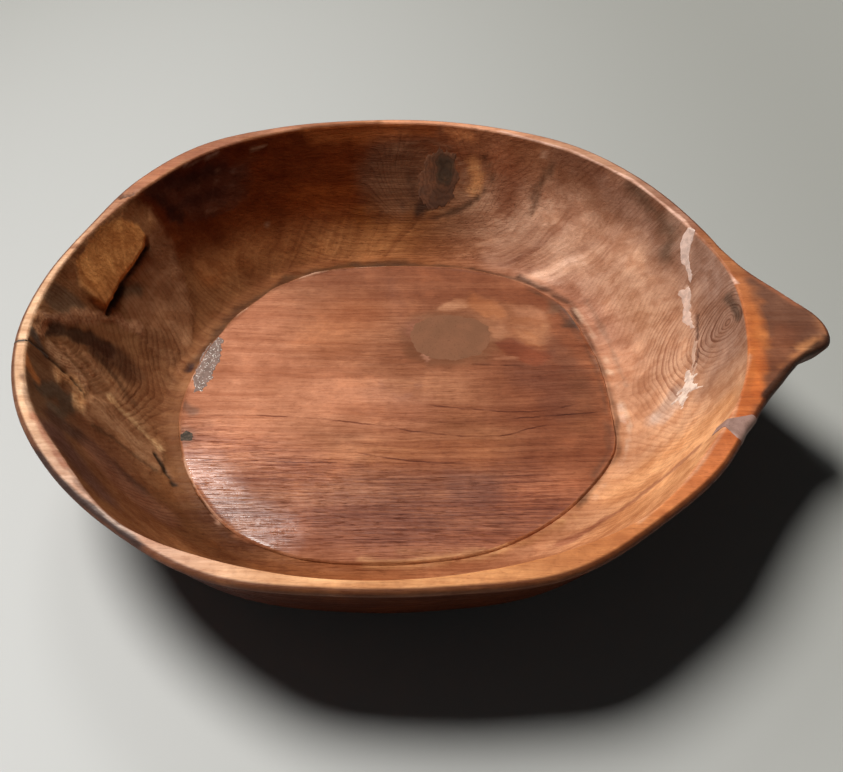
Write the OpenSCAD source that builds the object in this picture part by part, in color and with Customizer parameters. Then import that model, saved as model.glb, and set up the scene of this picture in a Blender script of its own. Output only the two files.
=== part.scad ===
// Round wooden dough bowl, carved by hand from one block, with a pointed handle at the rim.
// Cast fills close its old cracks, a rim gap and the worn places of its floor.
// The origin is the centre of the flat that the bowl stands on. +X points to the handle, +Z is up.
// Angles go round the bowl from the handle, and +Y lies at 90 degrees.

/* [Bowl] */
// Diameter across the rim, without the handle
bowl_d = 350; // [320:5:440]
// Height from the table to the rim
bowl_h = 75; // [60:1:100]
// Diameter of the flat floor inside
floor_d = 222; // [180:2:240]
// Thickness of the wood under the floor
floor_t = 14; // [11:0.5:20]
// Diameter of the flat that the bowl stands on
base_d = 200; // [170:2:206]
// Thickness of the wall at the rim
rim_t = 8; // [6:0.5:11]
// Thickness of the wall halfway up, measured level
wall_t = 11.5; // [9:0.5:14]
// Rounding of the outer edge of the rim
rim_edge = 2.5; // [1:0.25:3]
// Rounding of the inner edge of the rim
inner_edge = 0.8; // [0.4:0.1:1.2]
// How far the rim rises and falls on its way round
rim_wave = 4; // [0:0.5:6]
// Width of the groove round the floor
groove_w = 9; // [6:0.5:10]
// Depth of the groove below the floor
groove_depth = 1.4; // [0.6:0.2:2.4]
// How far the middle of the floor is worn down
floor_dish = 0.6; // [0:0.1:1.5]

/* [Handle] */
// How far the handle stands out past the rim
handle_reach = 31; // [20:1:45]
// Thickness of the handle at its tip
handle_tip_t = 9; // [7:0.5:12]
// How far down the wall the foot of the handle reaches
handle_foot = 42; // [30:1:50]
// Angle that the handle takes up on each side of its tip
handle_half_angle = 24; // [20:1:30]

/* [Crack fills in the wall] */
// Depth of the milky fills in the wall
vein_depth = 4; // [2.5:0.25:5]
// Length of the top vein fill
vein_top_l = 29; // [24:1:31]
// Width of the top vein fill
vein_top_w = 8; // [6:0.5:10]
// Length of the blob fill
vein_blob_l = 26; // [20:1:28]
// Width of the blob fill
vein_blob_w = 9; // [6:0.5:11]
// Length of the thread fill
vein_thread_l = 21; // [16:1:24]
// Width of the thread fill
vein_thread_w = 3; // [2:0.25:4]
// Length of the coral fill
vein_coral_l = 25; // [20:1:28]
// Width of the coral fill
vein_coral_w = 14; // [10:0.5:16]

/* [Rim fills] */
// Width of the rim gap fill, halfway through the rim
rim_gap_w = 13; // [8:0.5:18]
// Depth of the rim gap fill below the rim
rim_gap_depth = 10; // [6:0.5:16]
// Width of the dark fill in the rim crack
rim_crack_w = 1.6; // [1:0.2:3]
// Depth of the rim crack fill below the rim
rim_crack_depth = 14; // [8:0.5:20]

/* [Floor fills and knot] */
// Length of the glittering fill along the edge of the floor
edge_fill_l = 52; // [36:1:60]
// Width of the glittering fill
edge_fill_w = 10; // [7:0.5:12]
// Depth of the glittering fill
edge_fill_depth = 5; // [3:0.25:7]
// Diameter of the round plug in the floor
plug_d = 8; // [5:0.5:11]
// Depth of the round plug
plug_depth = 6; // [4:0.5:8]
// Length of the filler patch on the floor, along the grain
filler_l = 48; // [36:1:56]
// Width of the filler patch
filler_w = 34; // [26:1:40]
// Depth of the filler patch
filler_depth = 2; // [1.5:0.25:4]
// Width of the dead knot, round the wall
knot_w = 28; // [20:1:32]
// Height of the dead knot, up the wall
knot_h = 33; // [24:1:36]
// Depth of the dead knot
knot_depth = 5; // [3:0.25:5.5]

/* [Detail] */
// Number of columns that the carved surface has round the bowl
columns = 96; // [72:4:108]

/* [Hidden] */

// Every cut runs past the surface that it opens by this much
cut_over = 8;
bowl_r = bowl_d / 2;
floor_r = floor_d / 2;
base_r = base_d / 2;

// Rim radius every 15 degrees from the handle, as a share of bowl_r
rim_share = [0.995, 0.99, 0.985, 0.995, 1.005, 0.99, 0.98, 0.975, 0.995, 1.025, 1.005, 0.975,
    0.985, 1, 1.005, 1, 1, 1.01, 0.985, 0.985, 1.015, 1, 1.005, 0.995];
// Rim thickness at the same places, as a share of rim_t
thickness_share = [0.85, 0.65, 0.9, 0.9, 1.05, 0.8, 0.65, 0.6, 0.85, 1.3, 1.25, 0.7, 0.65, 0.75,
    0.8, 0.95, 0.45, 1.05, 0.75, 0.85, 1.35, 0.75, 1.25, 0.85];
// Floor radius at the same places, as a share of floor_r
floor_share = [1.01, 1, 1.02, 1.06, 1.045, 1, 0.97, 0.97, 0.99, 0.995, 0.965, 0.955, 0.955,
    0.975, 1, 1.03, 1.05, 1.035, 1.005, 1, 1.02, 1.03, 1.04, 1.055];
// Rise of the rim every 30 degrees, as a share of rim_wave
rise_share = [0.1, -0.1, 0.05, 0.15, 0.5, 0.3, -0.2, 0, 0.15, 0.35, 0.2, 0.05];
// Reach of the handle across its whole angle, from the near side to the far side, as a share of
// handle_reach
handle_share = [0, 0.06, 0.11, 0.19, 0.3, 0.42, 0.6, 0.95, 1, 0.88, 0.64, 0.43, 0.24, 0.11,
    0.04, 0, 0];

// Heights up the outside of the wall, as shares of its height
outside_share = [0.012, 0.05, 0.11, 0.18, 0.26, 0.35, 0.45, 0.54, 0.62, 0.69, 0.76, 0.82, 0.88,
    0.93];
// Places up the inside of the wall, as shares of the way from the groove to the rim
inside_share = [0.96, 0.91, 0.85, 0.78, 0.71, 0.63, 0.55, 0.47, 0.39, 0.3, 0.2, 0.1, 0];
// The inside of the wall steepens towards the rim along this curve
inside_curve = 1.45;
// The outside of the wall swells so far that the wall is wall_t thick halfway up
wall_foot_z = floor_t - groove_depth / 4;
halfway_share = pow((bowl_h / 2 - wall_foot_z) / (bowl_h - wall_foot_z), 1 / inside_curve);
halfway_r = (floor_r + groove_w) * (1 - halfway_share) + (bowl_r - rim_t) * halfway_share;
outside_curve = -log((halfway_r + wall_t - base_r) / (bowl_r - base_r)) / log(2);
// The handle thins from its foot to its edge along this curve
handle_curve = 1.4;
// Columns crowd together at the handle, by this angle
crowding = 33;

// Cubic curve through four neighbouring values, at part u of the way from the second to the third
function curve(a, b, c, d, u) =
    b + u * (c - a) / 2 + pow(u, 2) * (2 * a - 5 * b + 4 * c - d) / 2
    + pow(u, 3) * (3 * b - a - 3 * c + d) / 2;

// Value of a closed table at an angle
function around(table, angle) =
    let (n = len(table), turn = angle / 360, place = (turn - floor(turn)) * n, i = floor(place))
    curve(table[(i + n - 1) % n], table[i % n], table[(i + 1) % n], table[(i + 2) % n], place - i);

// Share of its reach that the handle has at an angle
function handle_at(angle) =
    let (n = len(handle_share) - 1,
        away = angle - 360 * round(angle / 360),
        place = (away / handle_half_angle + 1) / 2 * n,
        i = floor(place))
    abs(away) >= handle_half_angle ? 0
    : max(0, curve(handle_share[max(i - 1, 0)], handle_share[i], handle_share[min(i + 1, n)],
        handle_share[min(i + 2, n)], place - i));

function rim_z(angle) = bowl_h + rim_wave * around(rise_share, angle);
function rim_r(angle) = bowl_r * around(rim_share, angle);
function inner_rim_r(angle) = rim_r(angle) - rim_t * around(thickness_share, angle);
function floor_edge_r(angle) = floor_r * around(floor_share, angle);
function wall_foot_r(angle) = floor_edge_r(angle) + groove_w;

// How far the handle stands out at a depth below the rim
function handle_out(angle, depth) =
    handle_reach * handle_at(angle)
    * pow(max(0, 1 - max(0, depth - handle_tip_t) / (handle_foot - handle_tip_t)), handle_curve);

// Point of the outside of the wall, as radius and height
function outside_point(angle, share) =
    let (z = rim_z(angle) * share)
    [base_r + (rim_r(angle) - base_r) * pow(share, outside_curve)
        + handle_out(angle, rim_z(angle) - z), z];

// Point of the inside of the wall, as radius and height
function inside_point(angle, share) =
    [wall_foot_r(angle) + (inner_rim_r(angle) - wall_foot_r(angle)) * share,
        wall_foot_z + (rim_z(angle) - wall_foot_z) * pow(share, inside_curve)];

// The cut through the wood at one angle, as radius and height, from the base up the outside,
// over the rim and down the inside to the floor. It has an even number of points, so that the
// outside ones pair with the inside ones.
function section(angle) =
    let (z = rim_z(angle), edge = rim_r(angle) + handle_out(angle, 0), inner = inner_rim_r(angle),
        foot = wall_foot_r(angle), plateau = floor_edge_r(angle))
    [[base_r, 0],
        for (share = outside_share) outside_point(angle, share),
        [edge, z - rim_edge],
        [edge - rim_edge * (1 - cos(45)), z - rim_edge * (1 - sin(45))],
        [edge - rim_edge, z],
        [inner + inner_edge, z],
        [inner, z - inner_edge],
        for (share = inside_share) inside_point(angle, share),
        [foot - groove_w / 2, floor_t - groove_depth],
        [plateau + groove_depth / 2, floor_t - groove_depth],
        [plateau, floor_t - groove_depth / 3],
        [plateau - groove_depth / 2, floor_t],
        [plateau / 2, floor_t - floor_dish / 2]];

function column_angle(i) = 360 * i / columns - crowding * sin(360 * i / columns);
// Last column at or before an angle
function column_before(angle) =
    max([for (i = [-columns : 2 * columns]) if (column_angle(i) <= angle) i]);

// The carved wood between two columns. All the way round it closes on itself, and else each end
// is capped.
module wood(first = 0, last = columns) {
    whole = last - first >= columns;
    steps = last - first;
    rows = len(section(0));
    half = rows / 2;
    corners = [[0, 0, 0], [0, 0, floor_t - floor_dish],
        for (i = [first : whole ? last - 1 : last])
            let (angle = column_angle(i))
            for (p = section(angle)) [p[0] * cos(angle), p[0] * sin(angle), p[1]]];
    function at(i, j) = j < 0 ? 0 : j >= rows ? 1 : 2 + (whole ? i % steps : i) * rows + j;
    sides = [for (i = [0 : steps - 1]) for (j = [-1 : rows - 1])
        for (face = [[at(i, j), at(i, j + 1), at(i + 1, j + 1)],
            [at(i, j), at(i + 1, j + 1), at(i + 1, j)]])
            if (face[0] != face[1] && face[1] != face[2] && face[0] != face[2]) face];
    caps = whole ? [] : [for (k = [-1 : half - 2])
        for (face = [[at(steps, k), at(steps, k + 1), at(steps, rows - 2 - k)],
            [at(steps, k), at(steps, rows - 2 - k), at(steps, rows - 1 - k)],
            [at(0, k + 1), at(0, k), at(0, rows - 2 - k)],
            [at(0, k), at(0, rows - 1 - k), at(0, rows - 2 - k)]]) face];
    polyhedron(corners, concat(sides, caps));
}

// The wood round a place that something of this size fills
module wood_near(angle, r, size) {
    spread = 2 * atan(size / 2 / r);
    wood(column_before(angle - spread), column_before(angle + spread) + 1);
}

// The same on the inside of the wall, at a share of the way up
module wall_near(place, size) {
    wood_near(place[0], inside_point(place[0], place[1])[0], size);
}

// Puts its children on the inside of the wall: X up the wall, Y round the bowl, Z out of the wood
module on_wall(angle, share, lean = 0) {
    here = inside_point(angle, share);
    step = 0.02;
    slope = inside_point(angle, share + step) - inside_point(angle, share - step);
    rotate([0, 0, angle]) translate([here[0], 0, here[1]])
        rotate([0, -atan2(slope[1], slope[0]), 0]) rotate([0, 0, lean]) children();
}

// A pocket of the given depth, open towards the hollow of the bowl
module pocket(outline, length, width, depth) {
    translate([0, 0, -depth]) linear_extrude(depth + cut_over)
        polygon([for (p = outline) [p[0] * length / 2, p[1] * width / 2]]);
}

// Outlines of the fills, as shares of half their length and half their width
top_share = [[-1, -0.1], [-0.6, -0.22], [-0.2, -0.15], [0.2, -0.3], [0.5, -0.8], [0.85, -1],
    [1, -0.5], [0.95, 0.6], [0.7, 1], [0.4, 0.7], [0.1, 0.3], [-0.3, 0.15], [-0.7, 0.3],
    [-1, 0.15]];
blob_share = [[-1, -0.2], [-0.6, -0.35], [-0.3, -0.3], [0, -0.55], [0.35, -0.5], [0.7, -0.9],
    [0.95, -0.6], [1, 0.1], [0.75, 0.5], [0.55, 1], [0.3, 0.6], [-0.1, 0.75], [-0.4, 0.2],
    [-0.75, 0.3], [-1, 0.1]];
thread_share = [[-1, -0.4], [-0.5, -1], [0, -0.5], [0.5, -0.9], [1, -0.4], [1, 0.3], [0.6, 0.4],
    [0.1, 1], [-0.4, 0.4], [-0.8, 0.8], [-1, 0.3]];
coral_share = [[-1, -0.5], [-0.7, -0.75], [-0.45, -0.45], [-0.2, -0.95], [0.1, -0.6], [0.35, -1],
    [0.6, -0.6], [0.9, -0.65], [1, 0], [0.8, 0.45], [0.5, 0.3], [0.3, 1], [0, 0.55],
    [-0.3, 0.9], [-0.5, 0.3], [-0.85, 0.35], [-1, 0]];
filler_share = [[-1, -0.2], [-0.75, -0.7], [-0.3, -0.85], [0.1, -1], [0.6, -0.8], [1, -0.35],
    [0.9, 0.2], [0.55, 0.55], [0.3, 0.95], [-0.15, 1], [-0.6, 0.7], [-0.9, 0.4]];
knot_share = [1, 0.97, 0.9, 0.96, 1, 0.92, 0.88, 0.97, 1, 0.94, 0.9, 0.98];

// Where each fill lies: its angle round the bowl and its share of the way up the wall, or of the
// radius of the floor
vein_top_place_share = [23.6, 0.87];
vein_blob_place_share = [14.6, 0.69];
vein_thread_place_share = [4.8, 0.645];
vein_coral_place_share = [-3.2, 0.5];
rim_gap_angle = -23.6;
rim_crack_angle = 196.8;
edge_fill_angle = 175.5;
plug_place_share = [204.6, 0.975];
filler_place_share = [62, 0.45];
knot_place_share = [87, 0.61];
// How much wider the rim gap is outside than inside, as a share of its width
rim_gap_flare_share = 0.25;
// How much the glittering fill narrows at its ends, as a share of its width
edge_fill_taper_share = 0.7;
// Lean of each vein fill from the line straight up the wall
vein_top_lean = 44;
vein_blob_lean = 78;
vein_thread_lean = 75;
vein_coral_lean = 18;

module vein_top_pocket() {
    on_wall(vein_top_place_share[0], vein_top_place_share[1], vein_top_lean)
        pocket(top_share, vein_top_l, vein_top_w, vein_depth);
}

module vein_blob_pocket() {
    on_wall(vein_blob_place_share[0], vein_blob_place_share[1], vein_blob_lean)
        pocket(blob_share, vein_blob_l, vein_blob_w, vein_depth);
}

module vein_thread_pocket() {
    on_wall(vein_thread_place_share[0], vein_thread_place_share[1], vein_thread_lean)
        pocket(thread_share, vein_thread_l, vein_thread_w, vein_depth);
}

module vein_coral_pocket() {
    on_wall(vein_coral_place_share[0], vein_coral_place_share[1], vein_coral_lean)
        pocket(coral_share, vein_coral_l, vein_coral_w, vein_depth);
}

// The chipped place right through the rim, wider at the outside
module rim_gap_pocket() {
    inside = rim_gap_w * (1 - rim_gap_flare_share) / 2;
    outside = rim_gap_w * (1 + rim_gap_flare_share) / 2;
    near = inner_rim_r(rim_gap_angle) - cut_over;
    far = rim_r(rim_gap_angle) + cut_over;
    rotate([0, 0, rim_gap_angle]) translate([0, 0, rim_z(rim_gap_angle) - rim_gap_depth])
        linear_extrude(rim_gap_depth + cut_over)
        polygon([[near, -inside], [far, -outside], [far, outside], [near, inside]]);
}

// The narrow crack across the rim
module rim_crack_pocket() {
    near = inner_rim_r(rim_crack_angle) - 2 * cut_over;
    rotate([0, 0, rim_crack_angle])
        translate([near, -rim_crack_w / 2, rim_z(rim_crack_angle) - rim_crack_depth])
        cube([rim_r(rim_crack_angle) + cut_over - near, rim_crack_w,
            rim_crack_depth + cut_over]);
}

// The worn strip along the left edge of the floor, a crescent that follows the edge
module edge_fill_pocket() {
    middle = floor_edge_r(edge_fill_angle) - edge_fill_w / 2;
    spread = edge_fill_l / middle / 2 * 180 / PI;
    steps = 6;
    function along(i) = edge_fill_angle + spread * i / steps;
    function place(i, side) =
        let (r = floor_edge_r(along(i)) - edge_fill_w / 2
            + side * edge_fill_w / 2 * (1 - edge_fill_taper_share * pow(i / steps, 2)))
        [r * cos(along(i)), r * sin(along(i))];
    translate([0, 0, floor_t - edge_fill_depth]) linear_extrude(edge_fill_depth + cut_over)
        polygon([for (i = [-steps : steps]) place(i, 1), for (i = [steps : -1 : -steps]) place(i, -1)]);
}

module plug_pocket() {
    rotate([0, 0, plug_place_share[0]])
        translate([floor_r * plug_place_share[1] - plug_d / 4, 0, floor_t - plug_depth])
        cylinder(h = plug_depth + cut_over, d = plug_d, $fn = 48);
}

module filler_pocket() {
    rotate([0, 0, filler_place_share[0]]) translate([floor_r * filler_place_share[1], 0, floor_t])
        rotate([0, 0, -filler_place_share[0]])
        pocket(filler_share, filler_l, filler_w, filler_depth);
}

module knot_pocket() {
    turn = 180 / len(knot_share);
    outline = [for (a = [0 : turn : 360 - turn]) around(knot_share, a) * [cos(a), sin(a)]];
    on_wall(knot_place_share[0], knot_place_share[1]) pocket(outline, knot_h, knot_w, knot_depth);
}

module bowl_body() {
    color("sienna") difference() {
        wood();
        vein_top_pocket();
        vein_blob_pocket();
        vein_thread_pocket();
        vein_coral_pocket();
        rim_gap_pocket();
        rim_crack_pocket();
        edge_fill_pocket();
        plug_pocket();
        filler_pocket();
        knot_pocket();
    }
}

module vein_fill_top() {
    color("gainsboro") intersection() {
        wall_near(vein_top_place_share, vein_top_l);
        vein_top_pocket();
    }
}

module vein_fill_blob() {
    color("gainsboro") intersection() {
        wall_near(vein_blob_place_share, vein_blob_l);
        vein_blob_pocket();
    }
}

module vein_fill_thread() {
    color("gainsboro") intersection() {
        wall_near(vein_thread_place_share, vein_thread_l);
        vein_thread_pocket();
    }
}

module vein_fill_coral() {
    color("gainsboro") intersection() {
        wall_near(vein_coral_place_share, vein_coral_l);
        vein_coral_pocket();
    }
}

module rim_gap_fill() {
    color("thistle") intersection() {
        wood_near(rim_gap_angle, inner_rim_r(rim_gap_angle), rim_gap_w);
        rim_gap_pocket();
    }
}

module rim_crack_fill() {
    color("darkolivegreen") intersection() {
        wood_near(rim_crack_angle, inner_rim_r(rim_crack_angle), rim_crack_w);
        rim_crack_pocket();
    }
}

module floor_edge_fill() {
    color("silver") intersection() {
        wood_near(edge_fill_angle, floor_edge_r(edge_fill_angle) - edge_fill_w, edge_fill_l);
        edge_fill_pocket();
    }
}

module floor_plug() {
    color("dimgray") intersection() {
        wood_near(plug_place_share[0], floor_r * plug_place_share[1] - plug_d, plug_d);
        plug_pocket();
    }
}

module floor_filler() {
    color("peru") intersection() {
        wood_near(filler_place_share[0], floor_r * filler_place_share[1], filler_l);
        filler_pocket();
    }
}

module back_wall_knot() {
    color("saddlebrown") intersection() {
        wall_near(knot_place_share, knot_h);
        knot_pocket();
    }
}

bowl_body();
vein_fill_top();
vein_fill_blob();
vein_fill_thread();
vein_fill_coral();
rim_gap_fill();
rim_crack_fill();
floor_edge_fill();
floor_plug();
floor_filler();
back_wall_knot();
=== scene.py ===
"""Round wooden dough bowl, carved by hand, with the cast fills that close its cracks.

Lengths are in millimetres while a piece is shaped, and in metres in its mesh. Angles go round the
bowl from the handle, in degrees. A place on the wall is (angle, share of the way up the inside),
and a place on the floor is (x, y).
"""

from __future__ import annotations

import itertools
import logging
import math
from abc import ABC, abstractmethod
from dataclasses import astuple, dataclass, field
from enum import Enum

import bmesh
import bpy
import numpy as np
from mathutils import Matrix, Vector

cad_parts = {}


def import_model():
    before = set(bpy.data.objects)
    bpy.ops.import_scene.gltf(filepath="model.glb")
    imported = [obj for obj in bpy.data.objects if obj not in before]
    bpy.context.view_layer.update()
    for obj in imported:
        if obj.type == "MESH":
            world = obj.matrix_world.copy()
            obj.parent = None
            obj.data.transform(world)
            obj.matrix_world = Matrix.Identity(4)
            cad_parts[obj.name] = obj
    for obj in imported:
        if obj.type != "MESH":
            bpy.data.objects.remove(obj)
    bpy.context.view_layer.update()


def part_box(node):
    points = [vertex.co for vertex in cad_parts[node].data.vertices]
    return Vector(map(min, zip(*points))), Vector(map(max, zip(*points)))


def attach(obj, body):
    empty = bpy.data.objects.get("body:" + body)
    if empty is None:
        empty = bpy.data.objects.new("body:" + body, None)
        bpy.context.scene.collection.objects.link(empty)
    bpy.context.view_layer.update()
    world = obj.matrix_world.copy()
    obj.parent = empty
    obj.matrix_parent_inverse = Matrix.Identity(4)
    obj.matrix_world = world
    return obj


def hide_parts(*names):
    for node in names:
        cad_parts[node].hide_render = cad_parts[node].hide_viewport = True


LOG = logging.getLogger("dough_bowl")
MM = 0.001
# Angle in radians from which an edge stays sharp
CREASE = 0.9
# Share of the wall's height at which the rounding of the rim's inner edge begins
INSIDE_TOP = 0.988
# Exponents by which the rows crowd together towards the foot, outside and inside
OUTSIDE_BEND = 1.6
INSIDE_BEND = 0.7
# Share that stands for the lower edge of the groove, below the wall's zero
GROOVE_FOOT = -4
# How lengths in metres fit into a float curve, which holds values from 0 to 1
CURVE_SCALE = 10
CURVE_MIDDLE = 0.6
Tone = tuple[float, float, float]
Place = tuple[float, float]
Spot = tuple[float, float, float]


class Zone(Enum):
    """Stretches of the cut through the wood, from the middle of the base to that of the floor."""

    BASE = 0
    OUTSIDE = 1
    OUTER_EDGE = 2
    RIM_TOP = 3
    INNER_EDGE = 4
    INSIDE = 5
    GROOVE = 6
    FLOOR = 7


def smooth(low: float, high: float, value: np.ndarray) -> np.ndarray:
    """Rises smoothly from 0 at low to 1 at high."""
    part = np.clip((value - low) / (high - low), 0, 1)
    return part * part * (3 - 2 * part)


@dataclass(frozen=True)
class Mottle:
    """Smooth random field in space, the same on every run.

    Args:
        seed: Picks the field.
        size: Distance between its bumps, in millimetres.
    """

    seed: int
    size: float

    def at(self, points: np.ndarray) -> np.ndarray:
        """Values from -1 to 1 at points in millimetres."""
        table = np.random.default_rng(self.seed).uniform(-1, 1, (32, 32, 32))
        place = points / self.size + 99.5
        cell = np.floor(place).astype(int)
        part = place - cell
        part = part * part * (3 - 2 * part)
        total = np.zeros(points.shape[:-1])
        for corner in itertools.product((0, 1), repeat=3):
            weight = np.prod(np.where(corner, part, 1 - part), axis=-1)
            index = (cell + corner) % 32
            total += weight * table[index[..., 0], index[..., 1], index[..., 2]]
        return total


@dataclass
class Carving:
    """Shape of the carved wood. Its sizes and tables are those of the CAD source.

    Args:
        bowl_r: Radius of the outside of the rim.
        bowl_h: Height of the rim.
        floor_r: Radius of the floor.
        floor_t: Height of the floor.
        base_r: Radius of the flat underneath.
        rim_t: Thickness of the rim.
        wall_t: Thickness of the wall halfway up.
        rim_edge: Rounding of the rim's outer edge.
        inner_edge: Rounding of its inner edge.
        rim_wave: How far the rim rises and falls.
        groove_w: Width of the groove round the floor.
        groove_depth: Depth of the groove.
        floor_dish: How far the middle of the floor sinks.
        handle_reach: How far the handle stands out.
        handle_tip_t: Thickness of its tip.
        handle_foot: How far below the rim it runs out.
        handle_half_angle: Angle from its middle to its side.
        inside_curve: Exponent of the inside of the wall.
        handle_curve: Exponent of the underside of the handle.
        rim_share: Shares of bowl_r at even steps round the bowl.
        thickness_share: Shares of rim_t.
        floor_share: Shares of floor_r.
        rise_share: Shares of rim_wave.
        handle_share: Shares of handle_reach from one side of the handle to the other.
    """

    bowl_r: float = 175.0
    bowl_h: float = 75.0
    floor_r: float = 111.0
    floor_t: float = 14.0
    base_r: float = 100.0
    rim_t: float = 8.0
    wall_t: float = 11.5
    rim_edge: float = 2.5
    inner_edge: float = 0.8
    rim_wave: float = 4.0
    groove_w: float = 9.0
    groove_depth: float = 1.4
    floor_dish: float = 0.6
    handle_reach: float = 31.0
    handle_tip_t: float = 9.0
    handle_foot: float = 42.0
    handle_half_angle: float = 24.0
    inside_curve: float = 1.45
    handle_curve: float = 1.4
    rim_share: tuple[float, ...] = (0.995, 0.99, 0.985, 0.995, 1.005, 0.99, 0.98, 0.975, 0.995,
                                    1.025, 1.005, 0.975, 0.985, 1, 1.005, 1, 1, 1.01, 0.985,
                                    0.985, 1.015, 1, 1.005, 0.995)
    thickness_share: tuple[float, ...] = (0.85, 0.65, 0.9, 0.9, 1.05, 0.8, 0.65, 0.6, 0.85, 1.3,
                                          1.25, 0.7, 0.65, 0.75, 0.8, 0.95, 0.45, 1.05, 0.75,
                                          0.85, 1.35, 0.75, 1.25, 0.85)
    floor_share: tuple[float, ...] = (1.01, 1, 1.02, 1.06, 1.045, 1, 0.97, 0.97, 0.99, 0.995,
                                      0.965, 0.955, 0.955, 0.975, 1, 1.03, 1.05, 1.035, 1.005,
                                      1, 1.02, 1.03, 1.04, 1.055)
    rise_share: tuple[float, ...] = (0.1, -0.1, 0.05, 0.15, 0.5, 0.3, -0.2, 0, 0.15, 0.35, 0.2,
                                     0.05)
    handle_share: tuple[float, ...] = (0, 0.06, 0.11, 0.19, 0.3, 0.42, 0.6, 0.95, 1, 0.88, 0.64,
                                       0.43, 0.24, 0.11, 0.04, 0, 0)

    @staticmethod
    def curve(table: np.ndarray, places: tuple[np.ndarray, ...], part: np.ndarray) -> np.ndarray:
        """Cubic curve through four neighbouring values of a table.

        Args:
            table: The values.
            places: Indices of the four neighbours.
            part: Part of the way from the second to the third.

        Returns:
            The value at each place.
        """
        a, b, c, d = (table[place] for place in places)
        return (b + part * (c - a) / 2 + part ** 2 * (2 * a - 5 * b + 4 * c - d) / 2
                + part ** 3 * (3 * b - a - 3 * c + d) / 2)

    def around(self, table: tuple[float, ...], angle: np.ndarray) -> np.ndarray:
        """Value of a closed table at each angle."""
        count = len(table)
        place = np.mod(angle / 360, 1) * count
        i = np.floor(place).astype(int)
        places = tuple((i + step) % count for step in (-1, 0, 1, 2))
        return self.curve(np.array(table), places, place - i)

    def handle_at(self, angle: np.ndarray) -> np.ndarray:
        """Share of its reach that the handle has at each angle."""
        count = len(self.handle_share) - 1
        away = angle - 360 * np.round(angle / 360)
        place = np.clip((away / self.handle_half_angle + 1) / 2 * count, 0, count - 1e-6)
        i = np.floor(place).astype(int)
        places = tuple(np.clip(i + step, 0, count) for step in (-1, 0, 1, 2))
        share = np.maximum(0, self.curve(np.array(self.handle_share), places, place - i))
        return np.where(np.abs(away) < self.handle_half_angle, share, 0)

    def rim_z(self, angle: np.ndarray) -> np.ndarray:
        """Height of the rim."""
        return self.bowl_h + self.rim_wave * self.around(self.rise_share, angle)

    def rim_r(self, angle: np.ndarray) -> np.ndarray:
        """Radius of the outside of the rim."""
        return self.bowl_r * self.around(self.rim_share, angle)

    def inner_rim_r(self, angle: np.ndarray) -> np.ndarray:
        """Radius of the inside of the rim."""
        return self.rim_r(angle) - self.rim_t * self.around(self.thickness_share, angle)

    def plateau_r(self, angle: np.ndarray) -> np.ndarray:
        """Radius of the edge of the floor."""
        return self.floor_r * self.around(self.floor_share, angle)

    def outside_curve(self) -> float:
        """Exponent by which the outside of the wall swells."""
        foot_z = self.floor_t - self.groove_depth / 4
        share = ((self.bowl_h / 2 - foot_z) / (self.bowl_h - foot_z)) ** (1 / self.inside_curve)
        r = (self.floor_r + self.groove_w) * (1 - share) + (self.bowl_r - self.rim_t) * share
        return -math.log2((r + self.wall_t - self.base_r) / (self.bowl_r - self.base_r))

    def handle_out(self, angle: np.ndarray, depth: np.ndarray) -> np.ndarray:
        """How far the handle stands out at a depth below the rim."""
        left = 1 - np.maximum(0, depth - self.handle_tip_t) / (self.handle_foot - self.handle_tip_t)
        return (self.handle_reach * self.handle_at(angle)
                * np.maximum(0, left) ** self.handle_curve)

    def outside(self, angle: np.ndarray, share: np.ndarray) -> tuple[np.ndarray, np.ndarray]:
        """Radius and height of the outside of the wall, a share of the way up."""
        z = self.rim_z(angle) * share
        swell = np.maximum(share, 0) ** self.outside_curve()
        r = self.base_r + (self.rim_r(angle) - self.base_r) * swell
        return r + self.handle_out(angle, self.rim_z(angle) - z), z

    def inside(self, angle: np.ndarray, share: np.ndarray) -> tuple[np.ndarray, np.ndarray]:
        """Radius and height of the inside of the wall, a share of the way up."""
        foot = self.plateau_r(angle) + self.groove_w
        foot_z = self.floor_t - self.groove_depth / 4
        r = foot + (self.inner_rim_r(angle) - foot) * share
        return r, foot_z + (self.rim_z(angle) - foot_z) * np.maximum(share, 0) ** self.inside_curve

    def cut(self, zone: Zone, part: np.ndarray, angle: np.ndarray) -> tuple[np.ndarray, np.ndarray]:
        """Radius and height of the wood's surface.

        Args:
            zone: Stretch of the cut through the wood.
            part: Part of the way along the stretch, 0 to 1.
            angle: Angle round the bowl.

        Returns:
            Radius and height, each as an array.
        """
        z = self.rim_z(angle)
        edge = self.rim_r(angle) + self.handle_out(angle, np.zeros_like(angle))
        inner = self.inner_rim_r(angle)
        turn = part * math.pi / 2
        if zone is Zone.BASE:
            return self.base_r * part + 0 * angle, 0 * angle
        if zone is Zone.OUTSIDE:
            share = part ** OUTSIDE_BEND * (1 - self.rim_edge / z)
            r, height = self.outside(angle, share)
            return r + (edge - r) * smooth(0.93, 1, share * z / (z - self.rim_edge)), height
        if zone is Zone.OUTER_EDGE:
            return (edge - self.rim_edge * (1 - np.cos(turn)),
                    z - self.rim_edge * (1 - np.sin(turn)))
        if zone is Zone.RIM_TOP:
            outer = edge - self.rim_edge
            return outer + (inner + self.inner_edge - outer) * part, z
        if zone is Zone.INNER_EDGE:
            return (inner + self.inner_edge * (1 - np.sin(turn)),
                    z - self.inner_edge * (1 - np.cos(turn)))
        if zone is Zone.INSIDE:
            return self.inside(angle, INSIDE_TOP * (1 - part))
        plateau = self.plateau_r(angle)
        if zone is Zone.GROOVE:
            bend = np.interp(part, (0, 0.25, 0.5, 0.75, 1), self.groove_bends()[::-1])
            return plateau + bend, self.groove_z(bend)
        r = (plateau - self.groove_depth / 2) * (1 - part)
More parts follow.
